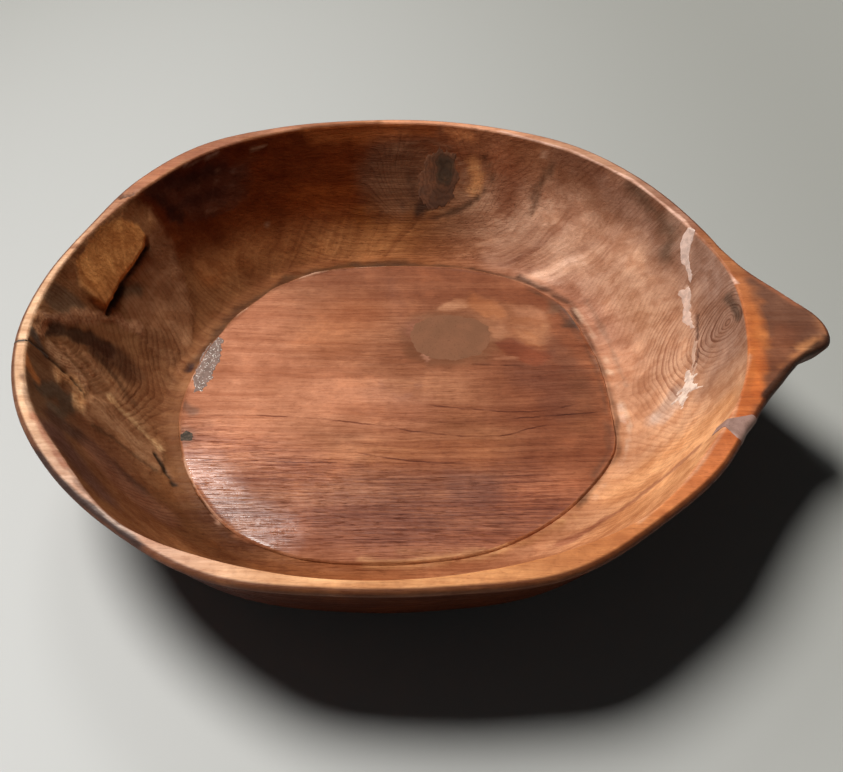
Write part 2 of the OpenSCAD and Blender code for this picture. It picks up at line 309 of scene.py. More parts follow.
        return r, self.floor_t - self.floor_dish * part + 0 * angle

    def groove_bends(self) -> tuple[float, ...]:
        """Distances out from the edge of the floor at which the groove's wall bends."""
        return (-self.groove_depth / 2, 0, self.groove_depth / 2, self.groove_w / 2, self.groove_w)

    def groove_z(self, out: np.ndarray) -> np.ndarray:
        """Height of the groove at distances out from the edge of the floor."""
        d = self.groove_depth
        return self.floor_t - np.interp(out, self.groove_bends(), (0, d / 3, d, d, d / 4))

    def above(self, x: np.ndarray, y: np.ndarray) -> tuple[np.ndarray, ...]:
        """Points of the inside of the bowl over places seen from above.

        Args:
            x: Places to the right, in millimetres.
            y: Places to the back.

        Returns:
            Points, zone numbers, shares of the way up the wall, and how much longer a height is
            than the same step square to the surface.
        """
        angle, r = np.degrees(np.arctan2(y, x)), np.hypot(x, y)
        out = r - self.plateau_r(angle)
        foot = self.plateau_r(angle) + self.groove_w
        run = self.inner_rim_r(angle) - foot
        share = (r - foot) / run
        high = self.inside(angle, share)[1]
        dish = self.floor_dish * np.clip(1 - r / (r - out - self.groove_depth / 2), 0, 1)
        z = np.where(share > 0, high, self.groove_z(out) - dish)
        zones = np.where(share > 0, Zone.INSIDE.value,
                         np.where(out > -self.groove_depth / 2, Zone.GROOVE.value, Zone.FLOOR.value))
        rise = (self.inside_curve * self.rim_z(angle) * np.maximum(share, 0)
                ** (self.inside_curve - 1) / run)
        return np.stack([x, y, z], axis=-1), zones, share, np.hypot(1, rise)

    def points(self, zone: Zone, part: np.ndarray, angle: np.ndarray) -> np.ndarray:
        """Points of the wood's surface. Arguments as for cut, broadcast together."""
        part, angle = np.broadcast_arrays(np.asarray(part, float), np.asarray(angle, float))
        r, z = self.cut(zone, part, angle)
        turn = np.radians(angle)
        return np.stack([r * np.cos(turn), r * np.sin(turn), z + 0 * r], axis=-1)


class Tones:
    """Tones of the wood, as linear colours."""

    HEART = (0.44, 0.18, 0.088)
    HEART_LIGHT = (0.64, 0.265, 0.14)
    HEART_ORANGE = (0.5, 0.185, 0.08)
    HEART_DEEP = (0.28, 0.092, 0.04)
    TAN = (0.54, 0.25, 0.125)
    SAND = (0.67, 0.37, 0.225)
    # Pale wood; the right wall's pale strokes use it as a painted sheen
    PALE = (0.78, 0.45, 0.295)
    HONEY = (0.8, 0.4, 0.185)
    ROSE = (0.47, 0.215, 0.125)
    RING_BROWN = (0.39, 0.22, 0.15)
    COPPER = (0.66, 0.21, 0.055)
    COCOA = (0.29, 0.115, 0.042)
    CHESTNUT = (0.31, 0.1, 0.038)
    EMBER = (0.18, 0.038, 0.008)
    SCORCH = (0.08, 0.028, 0.015)
    CHOCOLATE = (0.2, 0.085, 0.048)
    UMBER = (0.1, 0.05, 0.025)
    GREEN_GREY = (0.15, 0.11, 0.08)
    PITCH = (0.03, 0.018, 0.01)
    ASH = (0.52, 0.43, 0.38)
    # Dark outside wood carried over the rim's rounded outer edge, deepened as painted shade
    RIM_EDGE = (0.16, 0.045, 0.014)
    UNDERSIDE = (0.075, 0.016, 0.003)


class Side(Enum):
    """Where a mark lies, which is also how its places are given.

    WALL is (angle, share up the inside), FLOOR is (x, y), RIM is (angle, share across the rim from
    the outside), and OUTSIDE is (angle, share up the outside).
    """

    WALL = (Zone.INSIDE, Zone.GROOVE)
    FLOOR = (Zone.FLOOR,)
    RIM = (Zone.OUTER_EDGE, Zone.RIM_TOP, Zone.INNER_EDGE)
    OUTSIDE = (Zone.BASE, Zone.OUTSIDE)

    def holds(self, zones: np.ndarray) -> np.ndarray:
        """Which of these zone numbers are on this side."""
        return np.isin(zones, [zone.value for zone in self.value])


@dataclass(frozen=True)
class Figure:
    """How strongly a place shows its grain.

    Args:
        rings: Growth rings.
        fibres: Long fibres and pores.
        gloss: Polish.
        strokes: Strokes of the gouge up the wall, in relief and painted lighter and darker as sheen
            and shade.
        torn: Torn, rough relief.
    """

    rings: float = 0.3
    fibres: float = 0.5
    gloss: float = 0.3
    strokes: float = 0.0
    torn: float = 0.0


@dataclass(frozen=True)
class Mark:
    """A stain, a worn or torn place, a tool mark, or a painted shade or highlight: all that lies
    near a line on the surface.

    Args:
        path: Places along the line.
        radius: How far the mark reaches from its line, in millimetres.
        soft: Width over which it fades.
        tone: Colour of the wood there, or None to leave it.
        amount: Share of the old colour that goes.
        ragged: How far the border wanders, in millimetres.
        lift: How far the surface stands proud there, or sinks.
        figure: The grain there, or None to leave it.
        closed: Whether the line closes round the mark, which then fills it.
        tilt: Shares up the wall between which the lift grows from none to full, or None.
    """

    path: tuple[Place, ...]
    radius: float = 0.0
    soft: float = 4.0
    tone: Tone | None = None
    amount: float = 0.8
    ragged: float = 3.0
    lift: float = 0.0
    figure: Figure | None = None
    closed: bool = False
    tilt: Place | None = None


T = Tones
# Figures that several marks share
# Strong gouge strokes, which the shader paints with sheen and shade
SHEEN_STROKES = Figure(0.1, 0.1, 0.14, 1.1)
BURL = Figure(0.5, 0.8, 0.1, 0.5, 0.45)
DULL = Figure(0.15, 0.4, 0.0, 0.2)
RINGED = Figure(1.6, 0.1, 0.15)
SMOOTH = Figure(0.2, 0.3, 0.12)
LINED = Figure(0.8, 1.3, 0.3)
FLAKED = Figure(0.2, 0.5, 0.06, 1.1)

# In the order in which they lie over one another
MARKS: dict[Side, tuple[Mark, ...]] = {
    Side.WALL: (
        # Back left: scorched, dark red-brown
        Mark(((152, 0.78), (137, 0.75), (123, 0.75), (108, 0.78)), 24, 22, (0.2, 0.042, 0.01), 0.8,
             2.5, 0, DULL),
        Mark(((151, 0.99), (137, 0.94), (128, 0.88), (132, 0.66), (149, 0.74)), 0, 10,
             (0.14, 0.055, 0.034), 0.7, 5, 0, Figure(0.15, 0.4, 0, 0.6), closed=True),
        Mark(((151, 0.95), (149.5, 0.85), (148, 0.75)), 3, 6, (0.035, 0.014, 0.01), 0.7, 2.5),
        Mark(((149, 0.98), (142, 0.93), (134, 0.9)), 4, 8, (0.035, 0.013, 0.01), 0.65),
        Mark(((149, 0.82), (143, 0.8), (136, 0.76)), 2.5, 7, (0.04, 0.014, 0.012), 0.5),
        Mark(((141.5, 0.985), (137, 0.97), (134, 0.975)), 0.8, 1.4, (0.42, 0.24, 0.17), 0.6, 1.2),
        Mark(((140.5, 0.84), (138.5, 0.92)), 0.5, 1.2, (0.3, 0.16, 0.11), 0.6, 1),
        Mark(((136.5, 0.82), (135, 0.9)), 0.5, 1.2, (0.3, 0.16, 0.11), 0.6, 1),
        Mark(((133.5, 0.76), (132, 0.86)), 0.5, 1.2, (0.3, 0.16, 0.11), 0.5, 1),
        Mark(((141, 0.7), (138.5, 0.68)), 0.6, 1.2, (0.4, 0.2, 0.12), 0.6, 1),
        Mark(((148, 0.37), (130, 0.33), (116, 0.24), (106, 0.16), (96, 0.22)), 9, 14,
             (0.53, 0.215, 0.075), 0.65),
        Mark(((120, 0.6), (108, 0.55)), 8, 10, (0.3, 0.07, 0.014), 0.7, 4),
        Mark(((114, 0.97), (102, 0.94), (90, 0.98)), 5, 6, (0.5, 0.15, 0.04)),
        Mark(((126.5, 0.94), (124, 0.94)), 0.8, 1, (0.45, 0.26, 0.16), 0.8, 1, 0.2),
        Mark(((129.5, 0.51), (129, 0.46)), 0.7, 1, (0.45, 0.26, 0.16), 0.8, 0.8),
        # Back: dead knot with its swirl, and two dark arcs
        Mark(((96, 0.66),), 23, 18, (0.26, 0.125, 0.068), 0.8, 4, 0, Figure(0.6, 0.6, 0.05, 0.3)),
        Mark(((93.5, 0.66), (92, 0.55), (89, 0.47)), 3.5, 7, (0.1, 0.042, 0.024), 0.6, 4),
        Mark(((89.5, 0.48), (91, 0.44)), 4, 6, (0.06, 0.03, 0.02)),
        Mark(((79.5, 0.8), (78, 0.7), (78.5, 0.62)), 3.4, 4, (0.82, 0.4, 0.165), 0.85, 2),
        Mark(((78, 0.86), (75.6, 0.78), (75, 0.69), (77, 0.58), (80, 0.49), (86, 0.4)), 1.3, 2.6,
             (0.07, 0.03, 0.015), 0.75, 1.5, -0.3),
        Mark(((88, 0.8), (85, 0.83), (81.7, 0.77), (80.8, 0.66)), 0.8, 1.2, (0.5, 0.28, 0.17), 0.6,
             0.8),
        Mark(((96, 0.52), (94, 0.45), (90, 0.38), (86, 0.4)), 1.4, 4, (0.11, 0.046, 0.026), 0.6, 2),
        Mark(((98, 0.76), (95, 0.87), (90, 0.91), (85, 0.87)), 1, 1.6, (0.36, 0.17, 0.09), 0.6, 1.5,
             0.2),
        Mark(((101, 0.6), (100, 0.45), (95, 0.37)), 1, 2, (0.34, 0.15, 0.07), 0.5, 2, 0.2),
        Mark(((86, 0.98), (81, 0.95)), 3.5, 4, (0.6, 0.22, 0.08), 0.8, 2),
        Mark(((75, 0.9), (70, 0.75), (71, 0.55)), 6, 9, (0.36, 0.13, 0.06), 0.7),
        Mark(((62, 0.93), (63, 0.84), (64.5, 0.72), (64, 0.55)), 1.8, 3.4, (0.13, 0.065, 0.035),
             0.75, 2, -0.3),
        Mark(((64.5, 0.95), (64.5, 0.92)), 1, 1.4, (0.8, 0.5, 0.34), 0.8, 1),
        Mark(((58.5, 0.92), (58.3, 0.89)), 0.7, 1.2, (0.8, 0.5, 0.34), 0.8, 0.8),
        # Right: brown under the rim, pale strokes below it painted as a sheen along the gouge
        # ridges, rings round the pith
        Mark(((61, 0.97), (50, 0.96), (36, 0.95)), 8, 12, (0.26, 0.11, 0.06)),
        Mark(((50, 0.92), (43, 0.85), (33, 0.8), (28, 0.76)), 7, 12, (0.36, 0.19, 0.125), 0.6),
        Mark(((44, 0.97), (36, 0.94), (30.5, 0.9), (28.5, 0.78)), 3.5, 12, (0.13, 0.085, 0.055),
             0.7, 4),
        Mark(((68, 0.14), (62, 0.4), (54, 0.62)), 9, 14, T.PALE, 0.62, 2.5, 0, SHEEN_STROKES),
        Mark(((56, 0.12), (47, 0.42), (38, 0.66)), 9, 14, T.PALE, 0.55, 2.5, 0, SHEEN_STROKES),
        Mark(((65, 0.12), (59.5, 0.33), (53, 0.61)), 1.6, 4, (0.8, 0.48, 0.34), 0.45, 2.5),
        Mark(((62, -0.02), (50.5, 0.32), (43.5, 0.69)), 1.8, 5, (0.8, 0.48, 0.34), 0.4, 2.5),
        Mark(((54, 0.02), (43.5, 0.22), (36.5, 0.59)), 1.4, 4, (0.8, 0.48, 0.34), 0.4, 2.5),
        Mark(((60, 0.12), (49, 0.45), (40, 0.78)), 1.2, 4, (0.3, 0.14, 0.085), 0.4, 2.5),
        Mark(((40, 0.3), (32, 0.55), (24, 0.65)), 10, 12, (0.7, 0.4, 0.26), 0.5, 2.5, 0,
             Figure(0.3, 0.1, 0.2, 0.3)),
        Mark(((51, 0.52), (43, 0.6)), 8, 16, (0.8, 0.45, 0.29), 0.4),
        Mark(((17, 0.58), (9, 0.52)), 4, 10, (0.5, 0.25, 0.15), 0.5, 2),
        Mark(((3.8, 0.88),), 23, 18, T.RING_BROWN, 0.8, 1.5, 0, RINGED),
        Mark(((357, 0.8), (353, 0.66)), 5, 10, T.RING_BROWN, 0.5, 2),
        Mark(((18, 0.5), (10, 0.4), (0, 0.42)), 8, 12, None, 1, 1.5, 0, Figure(0.9, 0.1, 0.1)),
        Mark(((9.5, 0.92), (6.5, 0.94), (3, 0.96)), 2.6, 4, (0.1, 0.066, 0.046), 0.8, 2.5),
        Mark(((354.5, 0.24), (356, 0.36), (358, 0.43)), 4, 7, T.ASH, 0.55, 1.5),
        # Right: pale borders of the vein and the dark crack beside it
        Mark(((26, 0.98), (23.6, 0.87), (20.5, 0.75), (14.6, 0.69), (5, 0.66), (358, 0.55)), 2.4,
             3.5, (0.72, 0.46, 0.34), 0.38, 1.6),
        Mark(((19.5, 0.76), (15, 0.7)), 0.9, 1, (0.84, 0.62, 0.5), 0.8, 0.4),
        Mark(((12, 0.72), (9.5, 0.69), (7, 0.67)), 1, 1, (0.16, 0.08, 0.055), 0.9, 0.4, -0.4),
        Mark(((4.5, 0.655), (2.5, 0.64), (0.5, 0.6)), 0.9, 1, (0.2, 0.1, 0.07), 0.8, 0.4, -0.3),
        Mark(((357, 0.56), (355.5, 0.5), (354.5, 0.4), (353, 0.33)), 3.5, 4, (0.62, 0.44, 0.35),
             0.5, 2.5),
        # Painted shade along the step where the wall meets the floor, and painted highlights on the
        # ridge and bevel there that face the light
        Mark(((94, -0.1), (110, -0.1), (130, -0.1), (150, -0.1), (176, -0.1)), 3, 4,
             (0.09, 0.035, 0.012), 0.8, 1.5),
        Mark(((110, -0.12), (94, -0.12), (76, -0.12), (60, -0.12), (50, -0.1)), 1.6, 3,
             (0.08, 0.035, 0.018), 0.8, 1, -0.1),
        Mark(((177.5, -0.1), (175.5, -0.08)), 2.4, 2.4, (0.04, 0.018, 0.02), 0.9, 1.5, -0.3),
        Mark(((60, -0.08), (50, -0.14), (45, -0.1), (42.5, -0.05), (39.5, -0.12), (36, -0.14)), 1.6,
             3.6, (0.06, 0.028, 0.017), 0.8, 1.5, -0.3),
        Mark(((39, -0.13), (24.5, -0.155), (9, -0.15), (357.5, -0.15), (345, -0.16), (325, -0.16)),
             1.6, 2.6, (0.12, 0.055, 0.032), 0.8, 1, -0.3),
        # Raised ridge beyond the step, painted lighter as a highlight
        Mark(((42.5, -0.06), (31, -0.085), (19.5, -0.085), (9, -0.075), (0.5, -0.05), (355.5, 0),
              (345, -0.07), (330, -0.1)), 0.9, 1.6, (0.72, 0.47, 0.32), 0.7, 1.6, 0.35,
             Figure(0.3, 0.4, 0.1, 0.2, 0.3)),
        Mark(((40, 0.12), (30, 0.06), (20, 0.03), (8, 0.03)), 1.2, 3, (0.3, 0.17, 0.11), 0.5, 2),
        Mark(((3, -0.1), (359, -0.09), (355.5, -0.05)), 0.6, 1.2, (0.8, 0.56, 0.44), 0.45, 2.5,
             0.1),
        # Painted highlight along the lit bevel at the front right edge of the floor
        Mark(((272, -0.165), (285, -0.165), (298, -0.16), (310, -0.14), (322, -0.1)), 1.5, 1.8,
             (0.76, 0.43, 0.2), 0.75, 1.4, 0.2),
        Mark(((318, -0.12), (300, -0.12), (280, -0.12), (262, -0.12)), 2.5, 4, (0.4, 0.16, 0.065),
             0.6, 1.5),
        # Painted highlight along the bevel at the back and left edge of the floor
        Mark(((100, -0.175), (125, -0.175), (150, -0.175), (180, -0.175), (215, -0.175),
              (235, -0.175)), 1, 1.2, (0.72, 0.44, 0.3), 0.8, 1.2, 0.1),
        Mark(((342, 0.86), (341, 0.62), (338.3, 0.3), (333, 0.16)), 11, 14, T.HONEY, 0.85, 1.5),
        Mark(((334, 0.8), (330, 0.53), (323, 0.24), (314, 0.1)), 3.5, 3, (0.31, 0.1, 0.055), 0.65,
             2.5),
        # Left: plain facet beside the scorched back, and the strands above the crack
        Mark(((153, 0.9), (153, 0.67), (155, 0.47), (160, 0.2), (170, 0), (178, 0.1), (176, 0.45),
              (171, 0.7), (158, 0.76)), 0, 6, (0.46, 0.225, 0.11), 0.85, 1.5, 0.8, closed=True),
        Mark(((167.5, 0.6), (171, 0.68)), 4, 5, (0.13, 0.09, 0.055), 0.75, 1.5),
        Mark(((181, 0.99), (179.5, 0.82), (180.5, 0.75), (185, 0.8), (186.5, 0.92), (186, 1),
              (183, 1)), 0, 5, (0.23, 0.14, 0.08), 0.85, 1.5, closed=True),
        Mark(((190, 0.97), (186.5, 0.84), (180.5, 0.72), (176.5, 0.59), (175, 0.43)), 3, 4,
             (0.68, 0.36, 0.19), 0.75, 3, 0.25, BURL),
        Mark(((189.5, 0.95), (187.5, 0.89)), 2.4, 4, (0.5, 0.28, 0.16), 0.6, 2.5),
        Mark(((183, 0.8), (181, 0.7), (178, 0.63)), 2.4, 3.6, (0.6, 0.31, 0.15), 0.6, 3, 0.2, BURL),
        Mark(((192, 0.82), (193, 0.7), (193.5, 0.6)), 1.6, 2, (0.62, 0.32, 0.15), 0.7, 2.5, 0.3,
             BURL),
        # Left: torn flake under the rim, which stands proud over a ledge; the ledge's dark line is a
        # painted shadow
        Mark(((159.5, 1), (155, 0.98), (154, 0.89), (153, 0.83), (158, 0.78), (164, 0.72),
              (176.5, 0.67), (179, 0.83), (178.5, 0.94), (174.5, 0.98), (168.5, 1)), 0, 6,
             (0.58, 0.28, 0.115), 0.85, 3, 0, FLAKED, closed=True),
        Mark(((165, 0.99), (160, 0.95), (157.4, 0.86), (157.6, 0.79), (159.5, 0.75), (164, 0.72),
              (169.5, 0.705), (177, 0.675), (178, 0.76), (177.5, 0.86), (174, 0.96)), 0, 1.8,
             (0.84, 0.37, 0.11), 0.9, 0.8, 2.6, FLAKED, closed=True, tilt=(0.98, 0.74)),
        # Painted shadow under the ledge
        Mark(((158.6, 0.74), (164, 0.705), (169.5, 0.69), (174.5, 0.665), (177.5, 0.65)), 1, 1.2,
             T.PITCH, 0.97, 0.5, -1.4),
        Mark(((170, 0.675), (174.5, 0.65)), 1.8, 2, T.PITCH, 0.8, 0.5, -0.6),
        Mark(((175.5, 0.93), (177.5, 0.85), (177.5, 0.77)), 2, 7, (0.34, 0.15, 0.06), 0.6, 2.5),
        # Left: dark patches and burl round the old crack
        Mark(((191, 0.91), (187.5, 0.77), (185.5, 0.66), (185, 0.54)), 4, 3.4,
             (0.065, 0.036, 0.022), 0.85, 3, -0.4),
        Mark(((187, 0.6), (185, 0.45), (186.5, 0.34)), 7, 6, (0.1, 0.04, 0.02), 0.8, 1.5),
        Mark(((190.5, 1), (190, 0.94), (193, 0.95)), 2.6, 2, (0.8, 0.44, 0.22), 0.9, 2, 0.4, BURL),
        Mark(((194, 1), (195, 0.95), (196.5, 0.89)), 2.2, 2, T.GREEN_GREY, 0.9, 1.5),
        Mark(((205.5, 0.9), (204, 0.81), (204, 0.7), (210, 0.83)), 4.6, 4, (0.115, 0.075, 0.046),
             0.9),
        Mark(((212, 0.86), (213, 0.69), (217, 0.5), (221, 0.36)), 6, 6, (0.09, 0.045, 0.03), 0.85,
             2.5),
        Mark(((217, 0.92), (224, 0.88), (230, 0.83)), 8, 10, (0.145, 0.07, 0.053), 0.75),
        Mark(((194.6, 0.86), (195.5, 0.74), (197, 0.64)), 3.8, 2.4, (0.72, 0.42, 0.22), 0.85, 1.5,
             0.4, BURL),
        Mark(((199.5, 0.79), (198.5, 0.72), (200, 0.64), (204, 0.66)), 3.6, 3, (0.78, 0.44, 0.2),
             0.85, 2.5, 0.5, BURL),
        Mark(((200.5, 1), (203, 0.96), (204, 0.93)), 2.6, 2.4, (0.55, 0.2, 0.06), 0.85, 1.5),
        Mark(((196.3, 1), (196.5, 0.91), (197, 0.81), (198, 0.72), (200, 0.62)), 0.7, 1, T.PITCH,
             0.9, 0.6, -0.7),
        # Left: flat golden facet that runs down to the floor, its bright ridge, which is a painted
        # highlight, the slit at its foot
        Mark(((204, 0.65), (199, 0.57), (198.5, 0.42), (203.5, 0.16), (208, 0), (214, 0.04),
              (215, 0.2), (210, 0.42), (207.5, 0.57)), 0, 2.2, (0.37, 0.18, 0.085), 0.9, 0.8, 1.1,
             FLAKED, closed=True),
        Mark(((205, 0.6), (206, 0.45), (209, 0.3)), 2, 3, (0.38, 0.18, 0.08), 0.5, 1.5),
        Mark(((190, 0.64), (193, 0.48), (197, 0.3), (201, 0.12), (205, 0.02)), 2.2, 2.2,
             (0.48, 0.245, 0.115), 0.8, 1.4, 0.5, FLAKED),
        # Painted highlight along the ridge
        Mark(((196.5, 0.44), (200.5, 0.25), (206, 0.06)), 1.7, 3, (0.86, 0.55, 0.27), 0.85, 2, 0.4,
             FLAKED),
        Mark(((202, 0.18), (206.5, 0.05)), 2.4, 3, (0.9, 0.6, 0.31), 0.75, 2),
        Mark(((187.5, 0.6), (190.5, 0.42), (195, 0.24)), 1.6, 3, (0.1, 0.045, 0.022), 0.7, 1, -0.3),
        Mark(((207.5, 0.57), (208.5, 0.43), (211.5, 0.27), (214, 0.13)), 1.2, 1.6, T.PITCH, 0.5,
             0.5, -0.3),
        Mark(((176, 0.2), (184, 0.16), (192, 0.14), (199, 0.2)), 13, 12, (0.34, 0.15, 0.065), 0.4,
             1.5, 0, Figure(0.75, 0.5, 0.06)),
        Mark(((174, 0.34), (173, 0.14)), 6, 10, (0.22, 0.09, 0.035), 0.5, 2),
        Mark(((178, 0.2), (181, 0.1), (183, 0.03)), 5, 12, (0.18, 0.075, 0.032), 0.55, 2),
        Mark(((209, 0.1), (213, 0.045), (217, 0), (219, -0.03)), 1.2, 1.4, T.PITCH, 0.95, 1.4,
             -0.6),
        Mark(((216, 0.6), (222, 0.5), (228, 0.3)), 9, 9, (0.25, 0.104, 0.055), 0.7, 1.5, 0,
             Figure(0.8, 0.3, 0.2)),
    ),
    Side.FLOOR: (
        # Lighter towards the left and darker at the back right: the wood's own tone and a painted
        # falloff of the light across the floor
        Mark(((-92, -50), (-95, 0), (-88, 40)), 30, 40, T.HEART_LIGHT, 0.9, 3, 0, SMOOTH),
        Mark(((-60, 0), (-40, -6)), 26, 34, T.HEART_LIGHT, 0.75, 3, 0, SMOOTH),
        Mark(((-30, 62), (-40, 40)), 18, 30, T.HEART_ORANGE, figure=SMOOTH),
        Mark(((-60, -62), (-30, -58)), 14, 24, T.HEART_ORANGE),
        Mark(((2, -46), (24, -44), (50, -38)), 10, 18, (0.47, 0.175, 0.07), 0.6),
        Mark(((-72, -30), (-52, -44)), 12, 24, T.HEART_LIGHT, 0.6),
        Mark(((75, 25), (92, 5), (92, -25)), 12, 28, (0.19, 0.068, 0.03), 0.62),
        Mark(((18, -60), (32, -48)), 8, 20, (0.26, 0.088, 0.045), 0.4),
        Mark(((-20, -12), (0, -22)), 10, 24, T.HEART_LIGHT, 0.5),
        Mark(((66, -62), (80, -50)), 8, 18, (0.5, 0.19, 0.09), 0.5),
        Mark(((-12, -78), (20, -80), (44, -76)), 7, 18, (0.26, 0.088, 0.046), 0.5),
        Mark(((-40, 98), (0, 98), (40, 98), (70, 80)), 24, 30, T.HEART_DEEP, figure=SMOOTH),
        Mark(((85, 60), (85, 20), (100, -20), (90, -50)), 30, 36, T.HEART_DEEP, 0.9),
        Mark(((20, 60), (60, 30), (70, 5)), 24, 30, T.HEART_DEEP, 0.6),
        Mark(((-31, -98), (16, -95), (60, -82), (88, -65)), 16, 24, (0.36, 0.125, 0.06)),
        Mark(((-90, -58), (-40, -75), (20, -80), (70, -70)), 24, 24, None, 1, 2, 0, LINED),
        Mark(((-86, -66), (-62, -90), (-42, -100)), 12, 14, None, 1, 2.5, 0, Figure(0.8, 1, 0.8)),
        Mark(((35, -55), (56, -53), (60, -68), (39, -74)), 2, 9, (0.22, 0.08, 0.05), 0.6,
             closed=True),
        Mark(((95, 69), (88, 79)), 5, 6, (0.12, 0.065, 0.045), 0.75, 2.5),
        Mark(((70, 22), (92, 12), (88, 0)), 12, 14, (0.2, 0.075, 0.045), 0.5),
        # Painted shade along the bevel at the right edge of the floor
        Mark(((84, 75), (95, 56), (105, 32), (109, 6), (110, -11), (111, -30), (104, -48)), 1.1, 3,
             (0.13, 0.06, 0.035), 0.6, 1.8, -0.15),
        # Filler rubbed into the wood round its patch, and the torn tan place beside it
        Mark(((3, 45), (5, 55), (12, 62), (24, 65), (37, 64), (46, 57), (49, 46), (44, 33),
              (31, 27), (18, 27), (8, 32)), 5, 9, (0.26, 0.112, 0.058), 0.95, 3, 0,
             Figure(0.1, 0.15, 0.05), closed=True),
        Mark(((0, 56), (7, 60), (9, 45), (2, 44)), 0, 5, (0.25, 0.09, 0.055), 0.6, 1.5,
             closed=True),
        Mark(((16, 69), (26, 80), (35, 86), (48, 82), (58, 78), (70, 79), (79, 73), (80, 47),
              (75, 41), (66, 44), (58, 47), (50, 47), (46, 57), (37, 65), (25, 68)), 0, 5,
             (0.37, 0.15, 0.07), 0.7, 3, 0, SMOOTH, closed=True),
        Mark(((16, 69), (19, 74), (26, 80), (32, 80), (33, 72), (25, 69)), 0, 2,
             (0.56, 0.27, 0.145), 0.75, 1.5, 0, SMOOTH, closed=True),
        Mark(((18, 67), (26, 67), (33, 69)), 0.9, 1.4, (0.25, 0.09, 0.04), 0.7, 0.8, -0.2),
        Mark(((35, 87), (40, 82), (48, 79), (54, 75), (56, 67), (45, 65), (37, 70), (32, 77)), 0,
             2.5, (0.5, 0.195, 0.08), 0.75, 2.5, -0.2, SMOOTH, closed=True),
        Mark(((57, 75), (69, 78), (77, 73), (77, 66), (67, 68), (61, 66)), 0, 2.2,
             (0.43, 0.185, 0.096), 0.7, 3, -0.2, SMOOTH, closed=True),
        Mark(((57, 67), (69, 67), (69, 57), (58, 61)), 0, 2.4, (0.33, 0.12, 0.05), 0.7, 2.5, 0,
             SMOOTH, closed=True),
        Mark(((46, 56), (53, 60), (58, 53), (53, 47), (50, 48)), 0, 2, (0.42, 0.185, 0.094), 0.75,
             2.4, -0.15, SMOOTH, closed=True),
        Mark(((60, 60), (69, 60), (79, 64), (79, 46), (75, 41), (68, 45), (61, 50)), 0, 1.8,
             (0.43, 0.185, 0.09), 0.8, 3, -0.25, SMOOTH, closed=True),
        Mark(((66, 56), (72, 52)), 1.4, 2, (0.36, 0.14, 0.06), 0.7, 2, -0.2),
        # Painted shade in the sunken hollow of the torn place
        Mark(((50, 44), (60, 49), (67, 44), (75, 40), (82, 42), (82, 35), (74, 27), (66, 30),
              (58, 36)), 0, 3, (0.23, 0.062, 0.028), 0.8, 2, -0.3, SMOOTH, closed=True),
        Mark(((39, 25), (53, 26), (68, 27)), 0.5, 1.2, (0.12, 0.035, 0.014), 0.85, 0.6, -0.2),
        Mark(((52, 31), (62, 33)), 0.9, 1.6, (0.62, 0.3, 0.17), 0.5, 1),
        Mark(((10, 40), (13, 32), (15, 26)), 0.8, 1.6, (0.72, 0.4, 0.28), 0.6, 2.5),
        Mark(((66, 93), (76, 87), (84, 76)), 1.6, 4, (0.13, 0.065, 0.035), 0.75, 3, -0.2),
        Mark(((88, 62), (92, 66), (97, 60)), 1.6, 3, (0.1, 0.05, 0.03), 0.75, 2.5, -0.2),
        Mark(((77, 90), (86, 78), (82, 71), (78, 73)), 0, 4, (0.2, 0.115, 0.07), 0.6, 2,
             closed=True),
        Mark(((81, 46), (89, 33), (97, 23)), 6, 9, (0.2, 0.08, 0.045), 0.55),
        Mark(((-14, 93), (-4, 60), (4, 41)), 3, 9, (0.27, 0.1, 0.055), 0.4),
        Mark(((-5, 3), (5, -6), (14, 5)), 1.4, 3, (0.3, 0.13, 0.09), 0.45),
        Mark(((-6, -23), (-3, -17), (-1, -11)), 0.5, 1.2, (0.66, 0.36, 0.2), 0.6, 1.5),
        # Painted highlight along the bevel at the front edge of the floor
        Mark(((0, -110), (18, -109.5), (38, -104.5), (53, -99)), 1, 1.6, (0.75, 0.42, 0.2), 0.7, 1),
        Mark(((17, -103), (35, -104), (50, -100)), 1.8, 3, (0.5, 0.23, 0.1), 0.5, 1.5),
        Mark(((-105, -23), (-99, -27)), 3, 4, (0.2, 0.13, 0.1), 0.6, 1.5),
        Mark(((-99, -45),), 7, 5, (0.3, 0.17, 0.12), 0.5, 1.5),
        # Softer lights and darks along the grain
        Mark(((97, 16), (98, 2), (98, -14)), 6, 20, (0.19, 0.067, 0.028), 0.7),
        Mark(((36, -22), (58, -27)), 7, 18, (0.3, 0.115, 0.045), 0.45),
        Mark(((28, -85), (58, -80)), 6, 16, (0.26, 0.095, 0.048), 0.5),
        Mark(((70, -63), (86, -55)), 7, 16, (0.56, 0.215, 0.1), 0.55),
        Mark(((-54, -43), (-36, -50)), 8, 18, (0.64, 0.27, 0.15), 0.45),
        Mark(((-8, -3), (14, -12)), 8, 20, (0.62, 0.275, 0.16), 0.5),
    ),
    Side.RIM: (
        Mark(((196.8, 0), (196.8, 1)), 0.8, 1, T.SCORCH, 0.7, 1.5),
        Mark(((156, 0.2), (154, 1)), 1.5, 1.5, T.UMBER, 0.8, 0.8, -1),
        Mark(((10.5, 1), (30, 0.9), (45, 0.9), (60, 0.85), (75, 0.8)), 0.9, 1, (0.9, 0.56, 0.42),
             0.9, 0.5),
        Mark(((352, 1), (338, 0.97), (325, 0.97), (312, 0.97)), 0.8, 1.4, (0.86, 0.5, 0.3), 0.5,
             0.8),
        Mark(((205, 1), (212, 1), (222, 1), (232, 1), (242, 1)), 1, 1.6, (0.22, 0.1, 0.06), 0.6,
             1.4, -0.2),
        # Painted shadow band along the rim's outer edge at the front left
        Mark(((221, -0.7), (227, -0.7), (233, -0.9), (240, -1.2), (245, -1.3)), 1.9, 1.4,
             (0.055, 0.034, 0.03), 0.9, 0.5),
